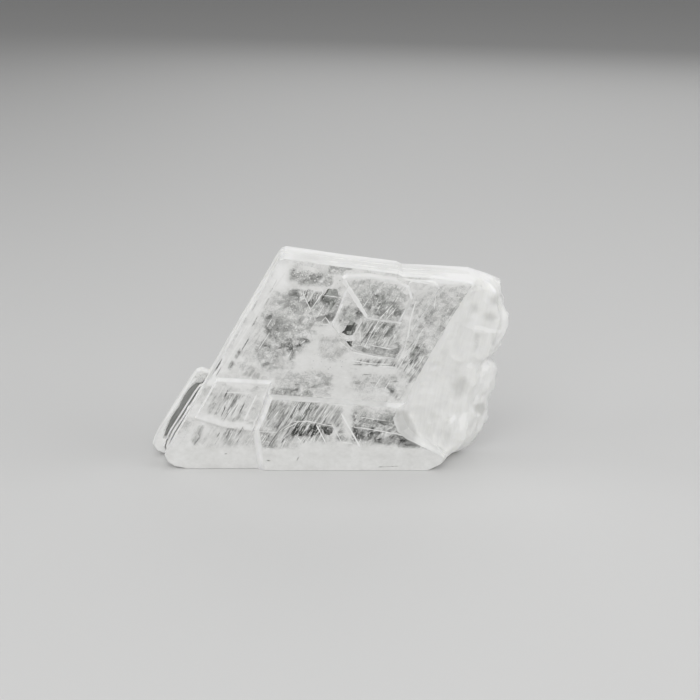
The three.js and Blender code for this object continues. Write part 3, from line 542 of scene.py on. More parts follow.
# Fields of fine splits: how many, length, direction in degrees, how much that varies, and where.
SPLITS = [
    (45, 2.2, 59, 4, [(-8.8, 6.6), (-6.7, 10.7), (-2.4, 10.3), (-0.7, 6.6), (-5.2, 6.1)]),
    (60, 2.4, 59, 4, [(-13.4, 11.6), (-11.1, 15.3), (0.4, 14.5), (-0.2, 10.3), (-8.9, 9.6)]),
    (40, 2.0, 59, 5, [(6.0, 28.0), (7.0, 33.4), (14.9, 33.0), (14.0, 28.0)]),
    (30, 2.6, 59, 4, [(15.2, 22.6), (16.9, 28.0), (19.9, 30.4), (20.6, 26.0), (18.2, 21.6)]),
    (60, 2.6, 59, 4, [(-26.0, 6.0), (-22.0, 10.0), (-10.0, 8.6), (-9.0, 5.6)]),
    (40, 2.8, 62, 4, [(-25.7, 12.6), (-23.7, 18.5), (-15.9, 17.8), (-18.4, 10.6)]),
    (36, 1.4, 64, 22, [(-5.3, 39.8), (-3.9, 40.7), (-1.4, 39.6), (-2.4, 37.2), (-3.5, 35.9)]),
    (30, 2.0, 59, 6, [(6.4, 34.6), (7.4, 39.0), (15.0, 39.4), (15.7, 34.1)]),
    (30, 1.8, 55, 25, [(5.4, 6.0), (5.4, 13.0), (15.4, 12.0), (17.6, 7.0)]),
    (26, 1.6, -4, 8, [(-9.0, 16.9), (-9.0, 22.6), (4.0, 22.6), (4.0, 16.0)]),
    (26, 2.2, -4, 5, [(5.0, 16.5), (5.4, 28.4), (14.4, 27.4), (14.6, 16.9)]),
    (40, 3.0, 60, 3, [(-26.5, 20.6), (-12.9, 43.0), (-10.4, 41.0), (-22.4, 20.6)]),
    (20, 2.4, 60, 5, [(19.5, 23.0), (20.5, 38.5), (28.0, 38.5), (22.0, 24.0)]),
]
SPLIT_WIDTH = 0.10
SPLIT_LENGTHS = (0.3, 1.1)  # shares of the field's length
SPLIT_WIDTHS = (0.6, 1.6)  # and of the width
CLEAR_SPLITS = 0.3  # share of them that are clear
SPLIT_WHITE = (0.7, 0.6)  # how white the others are at least, and how much more at most

# Fields of small bright crumbs: how many, their size, and where.
CRUMBS = [
    (126, 0.12, [(-12.4, 29.0), (-9.4, 36.4), (-3.4, 36.4), (-3.4, 27.4), (-9.0, 24.4)]),
    (112, 0.12, [(5.4, 34.4), (5.9, 40.4), (15.2, 40.4), (15.9, 33.6)]),
    (84, 0.12, [(5.2, 5.8), (5.2, 13.0), (15.4, 12.4), (17.8, 7.0)]),
    (56, 0.12, [(-9.4, 36.0), (-9.4, 40.4), (2.6, 40.4), (2.0, 34.0)]),
    (42, 0.17, [(-8.4, 42.8), (-7.4, 44.8), (4.4, 43.8), (2.4, 41.2)]),
    (70, 0.11, [(2.8, 28.6), (6.4, 34.4), (14.8, 33.4), (13.9, 27.4)]),
    (42, 0.11, [(-9.0, 6.6), (-7.0, 11.0), (1.4, 10.0), (0.2, 6.6)]),
    (56, 0.14, [(-3.4, 22.4), (-3.4, 30.4), (4.4, 30.4), (4.4, 22.4)]),
]
CRUMB_SIZES = (0.45, 1.15)  # shares of the field's size
CRUMB_CORNERS = (4, 6)
CRUMB_WHITE = (0.6, 0.7)  # how white they are at least, and how much more at most
SEED = 11


# ---------------------------------------------------------------- shaping


def scatter(i, j):
    """A repeatable number from -1 to 1 for each whole i and j, unlike its neighbours'."""
    s = math.sin(i * 127.1 + j * 311.7) * 43758.5453
    return 2 * (s - math.floor(s)) - 1


def smooth(value, low, high):
    t = min(1.0, max(0.0, (value - low) / (high - low)))
    return t * t * (3 - 2 * t)


def whole_between(value, start, whole, less, end):
    """0 up to start, 1 from whole to less, 0 from end on, and smooth between them."""
    return smooth(value, start, whole) * smooth(-value, -end, -less)


def lerp(a, b, t):
    return a + (b - a) * t


def wander(x, y):
    """Smoothly varying scatter."""
    i, j = math.floor(x), math.floor(y)
    u, v = smooth(x - i, 0, 1), smooth(y - j, 0, 1)
    low = lerp(scatter(i, j), scatter(i + 1, j), u)
    high = lerp(scatter(i, j + 1), scatter(i + 1, j + 1), u)
    return lerp(low, high, v)


def between(a, b, t):
    return (lerp(a[0], b[0], t), lerp(a[1], b[1], t))


def sides(points):
    return zip(points, points[1:] + points[:1])


def divided(points, spacing, closed=False, like=None):
    """The same line with points no further apart than spacing, or as many as the line like would get."""
    ends = list(points) + ([points[0]] if closed else [])
    guide = like or ends
    out = []
    for a, b, c, d in zip(ends, ends[1:], guide, guide[1:]):
        parts = max(1, math.ceil(math.dist(c, d) / spacing))
        out += [between(a, b, k / parts) for k in range(parts)]
    return out if closed else out + [ends[-1]]


def spline(points, count):
    """count + 1 points along a smooth curve through the points."""
    p = np.array(points)
    last = len(p) - 1
    out = []
    for k in range(count + 1):
        s = last * k / count
        i = min(int(s), last - 1)
        t = s - i
        p0, p1, p2, p3 = p[max(i - 1, 0)], p[i], p[i + 1], p[min(i + 2, last)]
        v0, v1 = (p2 - p0) / 2, (p3 - p1) / 2
        out.append((2 * p1 - 2 * p2 + v0 + v1) * t**3 + (3 * p2 - 3 * p1 - 2 * v0 - v1) * t**2 + v0 * t + p1)
    return [tuple(q) for q in out]


def area(points):
    return sum(a[0] * b[1] - b[0] * a[1] for a, b in sides(points)) / 2


def inset(points, distance):
    """A closed line moved inwards by a small distance, point by point."""
    turn = 1 if area(points) > 0 else -1
    out = []
    for k, (x, z) in enumerate(points):
        (ax, az), (bx, bz) = points[k - 1], points[(k + 1) % len(points)]
        length = math.hypot(bx - ax, bz - az) or 1
        out.append((x - turn * distance * (bz - az) / length, z + turn * distance * (bx - ax) / length))
    return out


def offset(points, distances):
    """A closed line with each of its lengths moved inwards by its own distance, and its corners kept."""
    turn = 1 if area(points) > 0 else -1
    lengths = []
    for ((ax, az), (bx, bz)), distance in zip(sides(points), distances):
        share = turn * distance / math.dist((ax, az), (bx, bz))
        lengths.append((ax - share * (bz - az), az + share * (bx - ax), bx - ax, bz - az))
    out = []
    for k, (bx, bz, vx, vz) in enumerate(lengths):
        ax, az, ux, uz = lengths[k - 1]
        share = ((bx - ax) * vz - (bz - az) * vx) / (ux * vz - uz * vx)
        out.append((ax + share * ux, az + share * uz))
    return out


def softened(edge):
    """A broad face's edge worn back, except that what stands on the ground stays on it."""
    return [(x, 0.0 if z0 == 0 else max(z, 0.0)) for (x, z), (x0, z0) in zip(inset(edge, SOFTEN), edge)]


def placed(name, data):
    """An object in the scene, made of this data."""
    made = bpy.data.objects.new(name, data)
    bpy.context.scene.collection.objects.link(made)
    return made


def piece(name, mesh):
    data = bpy.data.meshes.new(name)
    mesh.to_mesh(data)
    mesh.free()
    return placed(name, data)


def loft(name, rings):
    """A closed piece through rings of equally many (x, z) points, each at its own y."""
    mesh = bmesh.new()
    turned = area(rings[0][1]) < 0
    loops = [
        [mesh.verts.new(((x + SHIFT) * MM, y * MM, z * MM)) for x, z in (points[::-1] if turned else points)]
        for y, points in rings
    ]
    count = len(loops[0])
    for near, far in zip(loops, loops[1:]):
        for i in range(count):
            j = (i + 1) % count
            mesh.faces.new((near[i], far[i], far[j], near[j]))
    mesh.faces.new(loops[0])
    mesh.faces.new(loops[-1][::-1])
    return piece(name, mesh)


def joined(first, others):
    """first with the others joined to it, and the others gone."""
    for other in others:
        join = first.modifiers.new("join", "BOOLEAN")
        join.operation = "UNION"
        join.solver = "MANIFOLD"
        join.object = other
        bpy.context.view_layer.update()
        data = bpy.data.meshes.new_from_object(first.evaluated_get(bpy.context.evaluated_depsgraph_get()))
        first.modifiers.clear()
        first.data = data
        bpy.data.objects.remove(other)
    return first


def broken_points(y):
    """The broken side at depth y, whether that is on its slope, and how far along the slope or behind it."""
    sloping = y < CREASE
    share = (y - FRONT) / (CREASE - FRONT) if sloping else smooth(y, CREASE, BACK)
    points = [between(*((a, b) if sloping else (b, c)), share) for a, b, c in BROKEN_SIDE]
    return points, sloping, share


def unevenness(kind, y, z):
    """The grain or the bites of a broken edge, before their depth."""
    by_height, by_depth, own, less = kind
    return noise.noise((by_height * z, by_depth * y, own)) - less


def broken_edge(y, sheet):
    """The ragged broken edge of a sheet at depth y, from the top to the foot."""
    stations, sloping, share = broken_points(y)
    edge = []
    for i, (x, z) in enumerate(spline(stations, BREAKS * FINE * (len(stations) - 1))):
        fade = smooth(z, *CALM_HEIGHTS) * min(1, i / FINE / CALM_POINTS)
        along = WANDERING["along"] * i / FINE
        on_slope = SLOPE_SHARE * (share if sloping else 1)
        on_slope *= wander(along, WANDERING["depth"] * min(y, CREASE))
        behind = (CREASE_SHARE + (1 - CREASE_SHARE) * share) * wander(along, WANDERING["sheet"] * sheet)
        push = lerp(on_slope, behind, smooth(y, CREASE, CREASE + CREASE_BLEND))
        grain = GRAIN * fade * unevenness(GRAIN_KIND, y, z)
        bite = BITE * fade * max(0, unevenness(BITE_KIND, y, z))
        edge.append((x + RAGGED * fade * push + grain - bite, max(z, 0)))
    return edge


def outline_at(y, sheet, part):
    """The stack's outline at depth y, in this sheet and this part of it."""

    def chipped_by(draw):
        return CHIP * (0.5 + 0.5 * scatter(sheet, part + draw))

    step = STEP * scatter(sheet, STEP_DRAW) - chipped_by(LEFT_CHIP_DRAW)
    tilt = LEAN_SHARE * STEP * scatter(sheet, LEAN_DRAW)
    left = [(x - (step + tilt * z / HEIGHT if z > 0 else 0), z) for x, z in LEFT_SIDE]
    left[-1] = (left[-1][0], left[-1][1] + CORNER_SHARE * step)
    lift = TOP_SHARE * STEP * scatter(sheet, TOP_DRAW) - chipped_by(TOP_CHIP_DRAW)
    top = [(x, z + lift) for x, z in TOP_SIDE]
    worn = []
    for x, z in divided(left + top, SPACING, like=LEFT_SIDE + TOP_SIDE)[:-1]:
        spot = (SIDE_CHIPS * x, SIDE_CHIPS * z, SHEET_CHIPS * sheet + part)
        chip = CHIP * max(0, noise.noise(spot) + CHIP_BIAS) if z > UNCHIPPED else 0
        worn.append((x + CHIP_WAY[0] * chip, z + CHIP_WAY[1] * chip))
    return worn + [top[-1]] + broken_edge(y, sheet)


def stack_of_sheets():
    depth = (BACK - FRONT) / SHEETS
    rings = []
    for sheet in range(SHEETS):
        near = FRONT + sheet * depth + (LEDGE if sheet else 0)
        far = FRONT + (sheet + 1) * depth
        middle = lerp(near, far, FIRST_PART[0] + FIRST_PART[1] * abs(scatter(sheet, PART_DRAW)))
        for y, part in ((near, 0), (middle, 0), (middle + LEDGE / 2, 1), (far, 1)):
            rings.append((y, outline_at(y, sheet, part)))
    first, last = rings[0][1], rings[-1][1]
    rings[0], rings[-1] = (FRONT + SOFTEN, first), (BACK - SOFTEN, last)
    return loft("slab", [(FRONT, softened(first))] + rings + [(BACK, softened(last))])


def rim_line(rims, outline, share, less=0.0):
    """A plate's outline this far in along its rim, and less besides."""
    standing = [a[1] == b[1] == 0 for a, b in sides(outline)]
    return offset(outline, [0 if still else share * rim + less for rim, still in zip(rims, standing)])


def plate(root, face, rims, outline):
    """A terrace: a plate on the stack's front or back plane with a slanted, slightly chipped rim."""
    outwards = math.copysign(1, face - root)
    face -= outwards * FILM_HEIGHT

    def chip(a, b, own):
        return CHIP * noise.noise((RIM_CHIPS * a, RIM_CHIPS * b, own))

    def chipped(share):
        edge = divided(rim_line(rims, outline, share), SPACING, closed=True, like=outline + outline[:1])
        return [(x + chip(x, z, face), z + chip(z, x, -face) * (z > 0)) for x, z in edge]

    rings = [(root - outwards * SINK, chipped(0))]
    rings += [(lerp(root, face, up), chipped(share)) for up, share in zip(*RISE)]
    return loft("plate", rings if outwards > 0 else rings[::-1])


def left_outline(cut, drop):
    """A left sheet's outline, cut in, with the part above its shoulder let down along its left edge."""
    edge = []
    for x, z in LEFT_SHEET_OUTLINE:
        down = drop if z > LEFT_SHEET_SHOULDER else 0
        edge.append((x + cut - LEFT_SHEET_SLOPE * down, z - down))
    return edge + [(LEFT_SHEET_ROOT, edge[-1][1] - LEFT_SHEET_FALL), (LEFT_SHEET_ROOT, edge[0][1])]


def left_sheet(front, back, cut, drop):
    points = divided(left_outline(cut, drop), SPACING, closed=True)
    worn = LEFT_SHEET_RIMS[0 if cut == 0 else 1]
    rings = [(lerp(front, back, deep), inset(points, share * worn)) for deep, share in LEFT_RIM_SHAPE]
    return loft("left_sheet", rings + [(back, inset(points, SOFTEN))])


BREAK_HEIGHTS, BREAK_EDGE = zip(*((front[1], front[0]) for front, crease, back in reversed(BROKEN_SIDE)))


def past_break(x, z):
    """How far to the right of the front face's broken edge each place is."""
    return x - np.interp(z, BREAK_HEIGHTS, BREAK_EDGE)


def wear_at(vert):
    """How much of the wear a point of the crystal gets."""
    x, y, z = vert.co.x / MM - SHIFT, vert.co.y / MM, vert.co.z / MM
    behind, whole, less, before = WEAR_DEPTHS
    inwards = whole_between(y, FRONT + behind, FRONT + whole, BACK - less, BACK - before)
    inwards *= whole_between(z, *WEAR_HEIGHTS)
    return inwards and inwards * smooth(float(past_break(x, z)), *WEAR_PAST_EDGE)


def hollow_at(x, y, z):
    """How far the lumps and scoops stand in at a place on the broken side."""
    spot = [by_x * x + by_y * y + by_z * z for by_x, by_y, by_z in LUMP_CHANGE]
    hollow = LUMP * (0.5 + 0.5 * noise.fractal(spot, *LUMP_LAYERS))
    for deep, (width, depth, height) in SCOOPS:
        nearest = noise.voronoi((x / width, y / depth, z / height + SCOOP_LEAN * x / width))[0][0]
        hollow += deep * max(0, 1 - SCOOP_EDGE * nearest * nearest)
    return hollow


def worn_break(body):
    """Wears down the ledges of the broken side, mostly across the sheets, and makes it lumpy."""
    mesh = bmesh.new()
    mesh.from_mesh(body.data)
    bmesh.ops.triangulate(mesh, faces=mesh.faces)
    broken = {vert for vert in mesh.verts if wear_at(vert) > 0}
    long = [edge for edge in mesh.edges if edge.calc_length() > WEAR_LENGTH * MM]
    bmesh.ops.subdivide_edges(mesh, edges=[edge for edge in long if broken.issuperset(edge.verts)], cuts=1)
    bmesh.ops.triangulate(mesh, faces=mesh.faces)
    worn = []
    for vert in mesh.verts:
        share = wear_at(vert)
        if share > 0:
            others = [edge.other_vert(vert) for edge in vert.link_edges]
            weights = [
                abs(other.co.y - vert.co.y) + WEAR_ALONG * (other.co - vert.co).length for other in others
            ]
            worn.append((vert, share, list(zip(others, weights)), sum(weights)))
    for step in range(WEAR):
        places = []
        for vert, share, others, total in worn:
            middle = sum((weight * other.co for other, weight in others), Vector()) / total
            places.append(vert.co.lerp(middle, WEAR_STRENGTH * share))
        for (vert, *rest), place in zip(worn, places):
            vert.co = place
    mesh.normal_update()
    for vert, share, *rest in worn:
        vert.co -= vert.normal * (share * hollow_at(*(c / MM for c in vert.co)) * MM)
    bmesh.ops.dissolve_degenerate(mesh, dist=TINY * MM, edges=mesh.edges)
    mesh.to_mesh(body.data)
    mesh.free()


def slab_body():
    others = [left_sheet(*sheet) for sheet in LEFT_SHEETS]
    others += [plate(FRONT, *values) for values in FRONT_PLATES]
    others += [plate(BACK, *values) for values in BACK_PLATES]
    body = joined(stack_of_sheets(), others)
    worn_break(body)
    body.name = body.data.name = NODE + "_skin"
    return body


body = slab_body()

# ---------------------------------------------------------------- veils, cracks, painted rim highlights, splits and crumbs


def inside(points, x, z):
    """Which of the places lie within a closed line."""
    found = np.zeros(np.shape(x), bool)
    for (ax, az), (bx, bz) in sides(points):
        across = (az > z) != (bz > z)
        found ^= across & (x < (bx - ax) * (z - az) / ((bz - az) or 1) + ax)
    return found


def reach(points, x, z):
    """How far each place is from a closed line, and less than 0 outside it."""
    away = np.full(np.shape(x), np.inf)
    for (ax, az), (bx, bz) in sides(points):
        ux, uz = bx - ax, bz - az
        t = np.clip(((x - ax) * ux + (z - az) * uz) / (ux * ux + uz * uz), 0, 1)
        away = np.minimum(away, np.hypot(x - ax - t * ux, z - az - t * uz))
    return np.where(inside(points, x, z), away, -away)


def soft_share(outline, blur, x, z):
    """How much each place belongs to an area that ends softly."""
    t = np.clip(reach(outline, x, z) / (2 * blur) + 0.5, 0, 1)
    return t * t * (3 - 2 * t)


def lowered(points, depth):
    """Points given at the front plane, moved to this depth, which is less than 0 on a terrace."""
    return [(x, z - (DROP if depth > 0 else LIFT) * depth) for x, z in points]


def jagged(points, own):
    """A closed line with its lengths made uneven."""
    out = []
    for x, z in divided(points, JAG_LENGTH, closed=True):
        push = sum((noise.noise_vector((fast * x, fast * z, own)) * far for fast, far in JAGS), Vector())
        out.append((x + push.x, z + push.y))
    return out


def reshaped(hazes, change):
    """The same hazes, with their outlines changed."""
    return [(white, lined, blur, change(points)) for white, lined, blur, points in hazes]


def room_at(y, margin):
    """The outline of the crystal at depth y, less a margin."""
    whole = LEFT_SIDE + TOP_SIDE + [(x - BREAK_MARGIN, z) for x, z in broken_points(y)[0]]
    return offset(whole, [margin] * len(whole))


def flaw(white, points):
    """A small haze with a sharp outline."""
    return (white, 0.0, 0, points)


def ribbon(route, width):
    """The outline of a strip along a route, pointed at both ends and a little uneven."""
    points = divided(route, CRACK_LENGTH)
    fast, far = CRACK_CHANGE
    left, right = [], []
    for (ax, az), (x, z), (bx, bz) in zip(points, points[1:], points[2:]):
        wide = width * (1 + far * noise.noise((fast * x, fast * z, width)))
        half = 0.5 * wide / math.dist((ax, az), (bx, bz))
        left.append((x - half * (bz - az), z + half * (bx - ax)))
        right.append((x + half * (bz - az), z - half * (bx - ax)))
    return [points[0]] + left + [points[-1]] + right[::-1]


def place_in(chance, outline):
    """A place picked within an outline."""
    xs, zs = zip(*outline)
    while True:
        x, z = chance.uniform(min(xs), max(xs)), chance.uniform(min(zs), max(zs))
        if inside(outline, np.array(x), np.array(z)):
            return x, z


def splits(chance):
    """Fine lines, most of them white and some clear."""
    found = []
    for count, length, degrees, spread, outline in SPLITS:
        for k in range(count):
            x, z = place_in(chance, outline)
            turn = math.radians(degrees + spread * chance.uniform(-1, 1))
            half = 0.5 * length * chance.uniform(*SPLIT_LENGTHS)
            dx, dz = half * math.cos(turn), half * math.sin(turn)
            width = SPLIT_WIDTH * chance.uniform(*SPLIT_WIDTHS)
            clear = chance.random() < CLEAR_SPLITS
            white = 0.0 if clear else SPLIT_WHITE[0] + SPLIT_WHITE[1] * chance.random()
            found.append(flaw(white, ribbon([(x - dx, z - dz), (x + dx, z + dz)], width)))
    return found


def crumbs(chance):
    """Small bright flakes."""
    found = []
    for count, size, outline in CRUMBS:
        for k in range(count):
            x, z = place_in(chance, outline)
            corners = chance.randint(*CRUMB_CORNERS)
            turn = chance.uniform(0, math.tau)
            flake = []
            for c in range(corners):
                away = size * chance.uniform(*CRUMB_SIZES)
                angle = turn + math.tau * c / corners
                flake.append((x + away * math.cos(angle), z + away * math.sin(angle)))
            found.append(flaw(CRUMB_WHITE[0] + CRUMB_WHITE[1] * chance.random(), flake))
    return found


def haze_over(hazes, points, faces):
    """How milky and how streaky each corner of each face is."""
    x, z = points[:, 0], points[:, 1]
    middle_x, middle_z = x[faces].mean(axis=1), z[faces].mean(axis=1)
    milk = np.full(faces.shape, HAZE)
    streak = np.full(faces.shape, STREAK)
    for white, lined, blur, outline in hazes:
        (low_x, low_z), (high_x, high_z) = np.min(outline, axis=0) - blur, np.max(outline, axis=0) + blur
        if blur:
            near = np.flatnonzero((x > low_x) & (x < high_x) & (z > low_z) & (z < high_z))
            shares = np.zeros(len(points))
            shares[near] = soft_share(outline, blur, x[near], z[near])
            share = shares[faces]
            near = slice(None)
        else:
            near = (middle_x > low_x) & (middle_x < high_x) & (middle_z > low_z) & (middle_z < high_z)
            near = np.flatnonzero(near)
            share = inside(outline, middle_x[near], middle_z[near])[:, None] * 1.0
        milk[near] += (white - milk[near]) * share
        streak[near] += (lined - streak[near]) * share
    return milk, streak


def pinched(faces):
    """The corners at which faces meet only in a point."""
    edges = {(face[k - 1], face[k]) for face in faces.tolist() for k in range(3)}
    starts = Counter(a for a, b in edges if (b, a) not in edges)
    return [corner for corner, count in starts.items() if count > 1]


class Veil:
    """Thin closed sheets of haze in one mesh. Milk, streak and glint are kept on its faces' corners."""

    def __init__(self, name):
        self.name = name
        self.spots, self.polygons = [], []
        self.values = {"milk": [], "streak": [], "glint": []}

    def sheet(self, low, border, holes, hazes, share, spacing):
        """A sheet from y low, within the border and around the holes, with this share of the hazes."""
        places, edges = [], []
        for line in [border] + holes + [points for white, lined, blur, points in hazes if not blur]:
            start = len(places)
            places += line
            edges += [(start + k, start + (k + 1) % len(line)) for k in range(len(line))]
        (low_x, low_z), (high_x, high_z) = np.min(border, axis=0), np.max(border, axis=0)
        for x in np.arange(low_x, high_x, spacing):
            for z in np.arange(low_z, high_z, spacing):
                places.append((x + UNEVEN * spacing * wander(x, z), z + UNEVEN * spacing * wander(z, x)))
        found = delaunay_2d_cdt([Vector(place) for place in places], edges, [], 0, TINY, False)
        points = np.array([point[:] for point in found[0]])
        faces = np.array(found[2])

        x, z = points[faces, 0], points[faces, 1]
        turned = (x[:, 1] - x[:, 0]) * (z[:, 2] - z[:, 0]) < (x[:, 2] - x[:, 0]) * (z[:, 1] - z[:, 0])
        faces[turned] = faces[turned][:, ::-1]
        middle_x, middle_z = x.mean(axis=1), z.mean(axis=1)
        kept = inside(border, middle_x, middle_z)
        for hole in holes:
            kept &= ~inside(hole, middle_x, middle_z)
        faces = faces[kept]
        milk, streak = haze_over(hazes, points, faces)
        glint = np.clip((milk - 1) / GLINT, 0, 1)
        milk = 1 - (1 - np.minimum(milk, WHOLE)) ** share
        kept = milk.max(axis=1) > CLEAR
        # Faces beside the corners where others meet only in a point are kept too, and then again.
        for widening in range(2):
            kept |= np.isin(faces, pinched(faces[kept])).any(axis=1)
        self.close(points, faces[kept], np.stack([milk, streak, glint], axis=2)[kept], low)

    def close(self, points, faces, kinds, low):
        """Adds the faces at the front and the back of a sheet, and the walls around them."""
        used = np.unique(faces)
        number = np.full(len(points), -1)
        number[used] = np.arange(len(used))
        faces = number[faces]
        corners = {}
        for face, whites in zip(faces.tolist(), kinds):
            for k in range(3):
                n = (k + 1) % 3
                corners[face[k], face[n]] = (whites[k], whites[n])
        walls = [edge for edge in corners if edge[::-1] not in corners]
        start, count = len(self.spots), len(used)
        for y in (low, low + VEIL_THICKNESS):
            self.spots += [((x + SHIFT) * MM, y * MM, z * MM) for x, z in points[used]]
        self.polygons += (faces + start).tolist() + (faces[:, ::-1] + start + count).tolist()
        self.polygons += [(a + start, a + start + count, b + start + count, b + start) for a, b in walls]
        for kind, key in enumerate(self.values):
            values = kinds[:, :, kind]
            self.values[key] += values.ravel().tolist() + values[:, ::-1].ravel().tolist()
            for edge in walls:
                white, next_white = (corner[kind] for corner in corners[edge])
                self.values[key] += [white, white, next_white, next_white]

    def made(self):
        data = bpy.data.meshes.new(self.name)
        data.from_pydata(self.spots, [], self.polygons)
        for key, numbers in self.values.items():
            data.attributes.new(key, "FLOAT", "CORNER").data.foreach_set("value", numbers)
        return placed(self.name, data)


def haze_on_face(name, root, plates, hazes):
    """The haze on the stack's front or back plane and on the faces of its plates."""
    veil = Veil(name)
    outwards = -1 if root < 0 else 1
    edge = outline_at(root, 0, 0) if root < 0 else outline_at(root, SHEETS - 1, 1)
    levels = [(root, softened(edge))]
    for face, rims, outline in plates:
        levels.append((face - outwards * FILM_HEIGHT, rim_line(rims, outline, 1, -CHIP)))
    for y, border in levels:
        holes = [
            rim_line(rims, outline, np.interp((y - root) / (face - root), *RISE), CHIP)
            for face, rims, outline in plates if abs(face) > abs(y) + HIGHER
        ]
        shown = reshaped(hazes, lambda points: lowered(points, -abs(y - root)))
        low = min(y + outwards * FACE_GAP, y + outwards * FILM_HEIGHT)
        veil.sheet(low, border, holes, shown, FACE_SHARE, FACE_SPACING)
    return veil.made()


def haze_on_left_sheets():
    """The haze on the fronts of the sheets that reach further out at the lower left."""
    veil = Veil("haze_on_left_sheets")
    for (front, back, cut, drop), hazes in zip(LEFT_SHEETS, LEFT_HAZES):
        edge = left_outline(cut, drop)
        veil.sheet(front - FILM_HEIGHT, offset(edge, [LEFT_MARGIN] * len(edge)), [], hazes, 1.0, LEFT_SPACING)
    veil.sheet(LEFT_SHEETS[0][0] + LEFT_VEIL_DEPTH, LEFT_VEIL, [], [], 1.0, VEIL_SPACING)
    return veil.made()


def veil_inside(name, depth, share):
    veil = Veil(name)
    y = FRONT + depth
    hazes = reshaped(HAZES, lambda points: lowered(jagged(points, depth), depth))
    veil.sheet(y, room_at(y, VEIL_MARGIN), [], hazes, share, VEIL_SPACING)
    return veil.made()


def all_veils():
    chance = random.Random(SEED)
    noise.seed_set(SEED)  # without it noise_vector follows the clock
    fine = splits(chance) + crumbs(chance)
    fine += [flaw(white, ribbon(route, width)) for width, white, route in CRACKS_AND_RIM_HIGHLIGHTS]
    uneven = reshaped(HAZES, lambda points: jagged(points, 1))
    front = haze_on_face("haze_on_front", FRONT, FRONT_PLATES, uneven + fine)
    back = haze_on_face("haze_on_back", BACK, BACK_PLATES, uneven)
    return [front, back, haze_on_left_sheets()] + [veil_inside(*values) for values in INNER_VEILS]


veils = all_veils()

# ---------------------------------------------------------------- shader maths


class Value:
    """A shader socket that can be used in Python arithmetic."""

    def __init__(self, tree, socket):
        self.tree, self.socket = tree, socket

    def node(self, kind, inputs=(), output=0, **settings):
        """A node of this kind with its settings, then the values or links of its inputs."""
        made = self.tree.nodes.new(kind)
        for name, value in settings.items():
            setattr(made, name, value)
        for name, value in dict(inputs).items():
            if isinstance(value, Value):
                self.tree.links.new(value.socket, made.inputs[name])
            else:
                made.inputs[name].default_value = value
        return Value(self.tree, made.outputs[output])

    def maths(self, operation, *values):
        return self.node("ShaderNodeMath", enumerate(values), operation=operation)

    def __add__(self, other):
        return self.maths("ADD", self, other)

    def __radd__(self, other):
        return self.maths("ADD", other, self)

    def __sub__(self, other):
        return self.maths("SUBTRACT", self, other)

    def __rsub__(self, other):
        return self.maths("SUBTRACT", other, self)

    def __mul__(self, other):
        return self.maths("MULTIPLY", self, other)

    def __rmul__(self, other):
        return self.maths("MULTIPLY", other, self)

    def most(self, other):
        return self.maths("MAXIMUM", self, other)

    def between(self, low, high):
        """0 below low, 1 above high, and smooth from one to the other."""
        inputs = {"Value": self, "From Min": low, "From Max": high}
        return self.node("ShaderNodeMapRange", inputs, interpolation_type="SMOOTHSTEP")

    def spread(self, strength):
        """A pattern of this strength about 0."""
        return (self - 0.5) * strength

    def ranging(self, least, more):
        """From least, to that much more."""
        return self * more + least


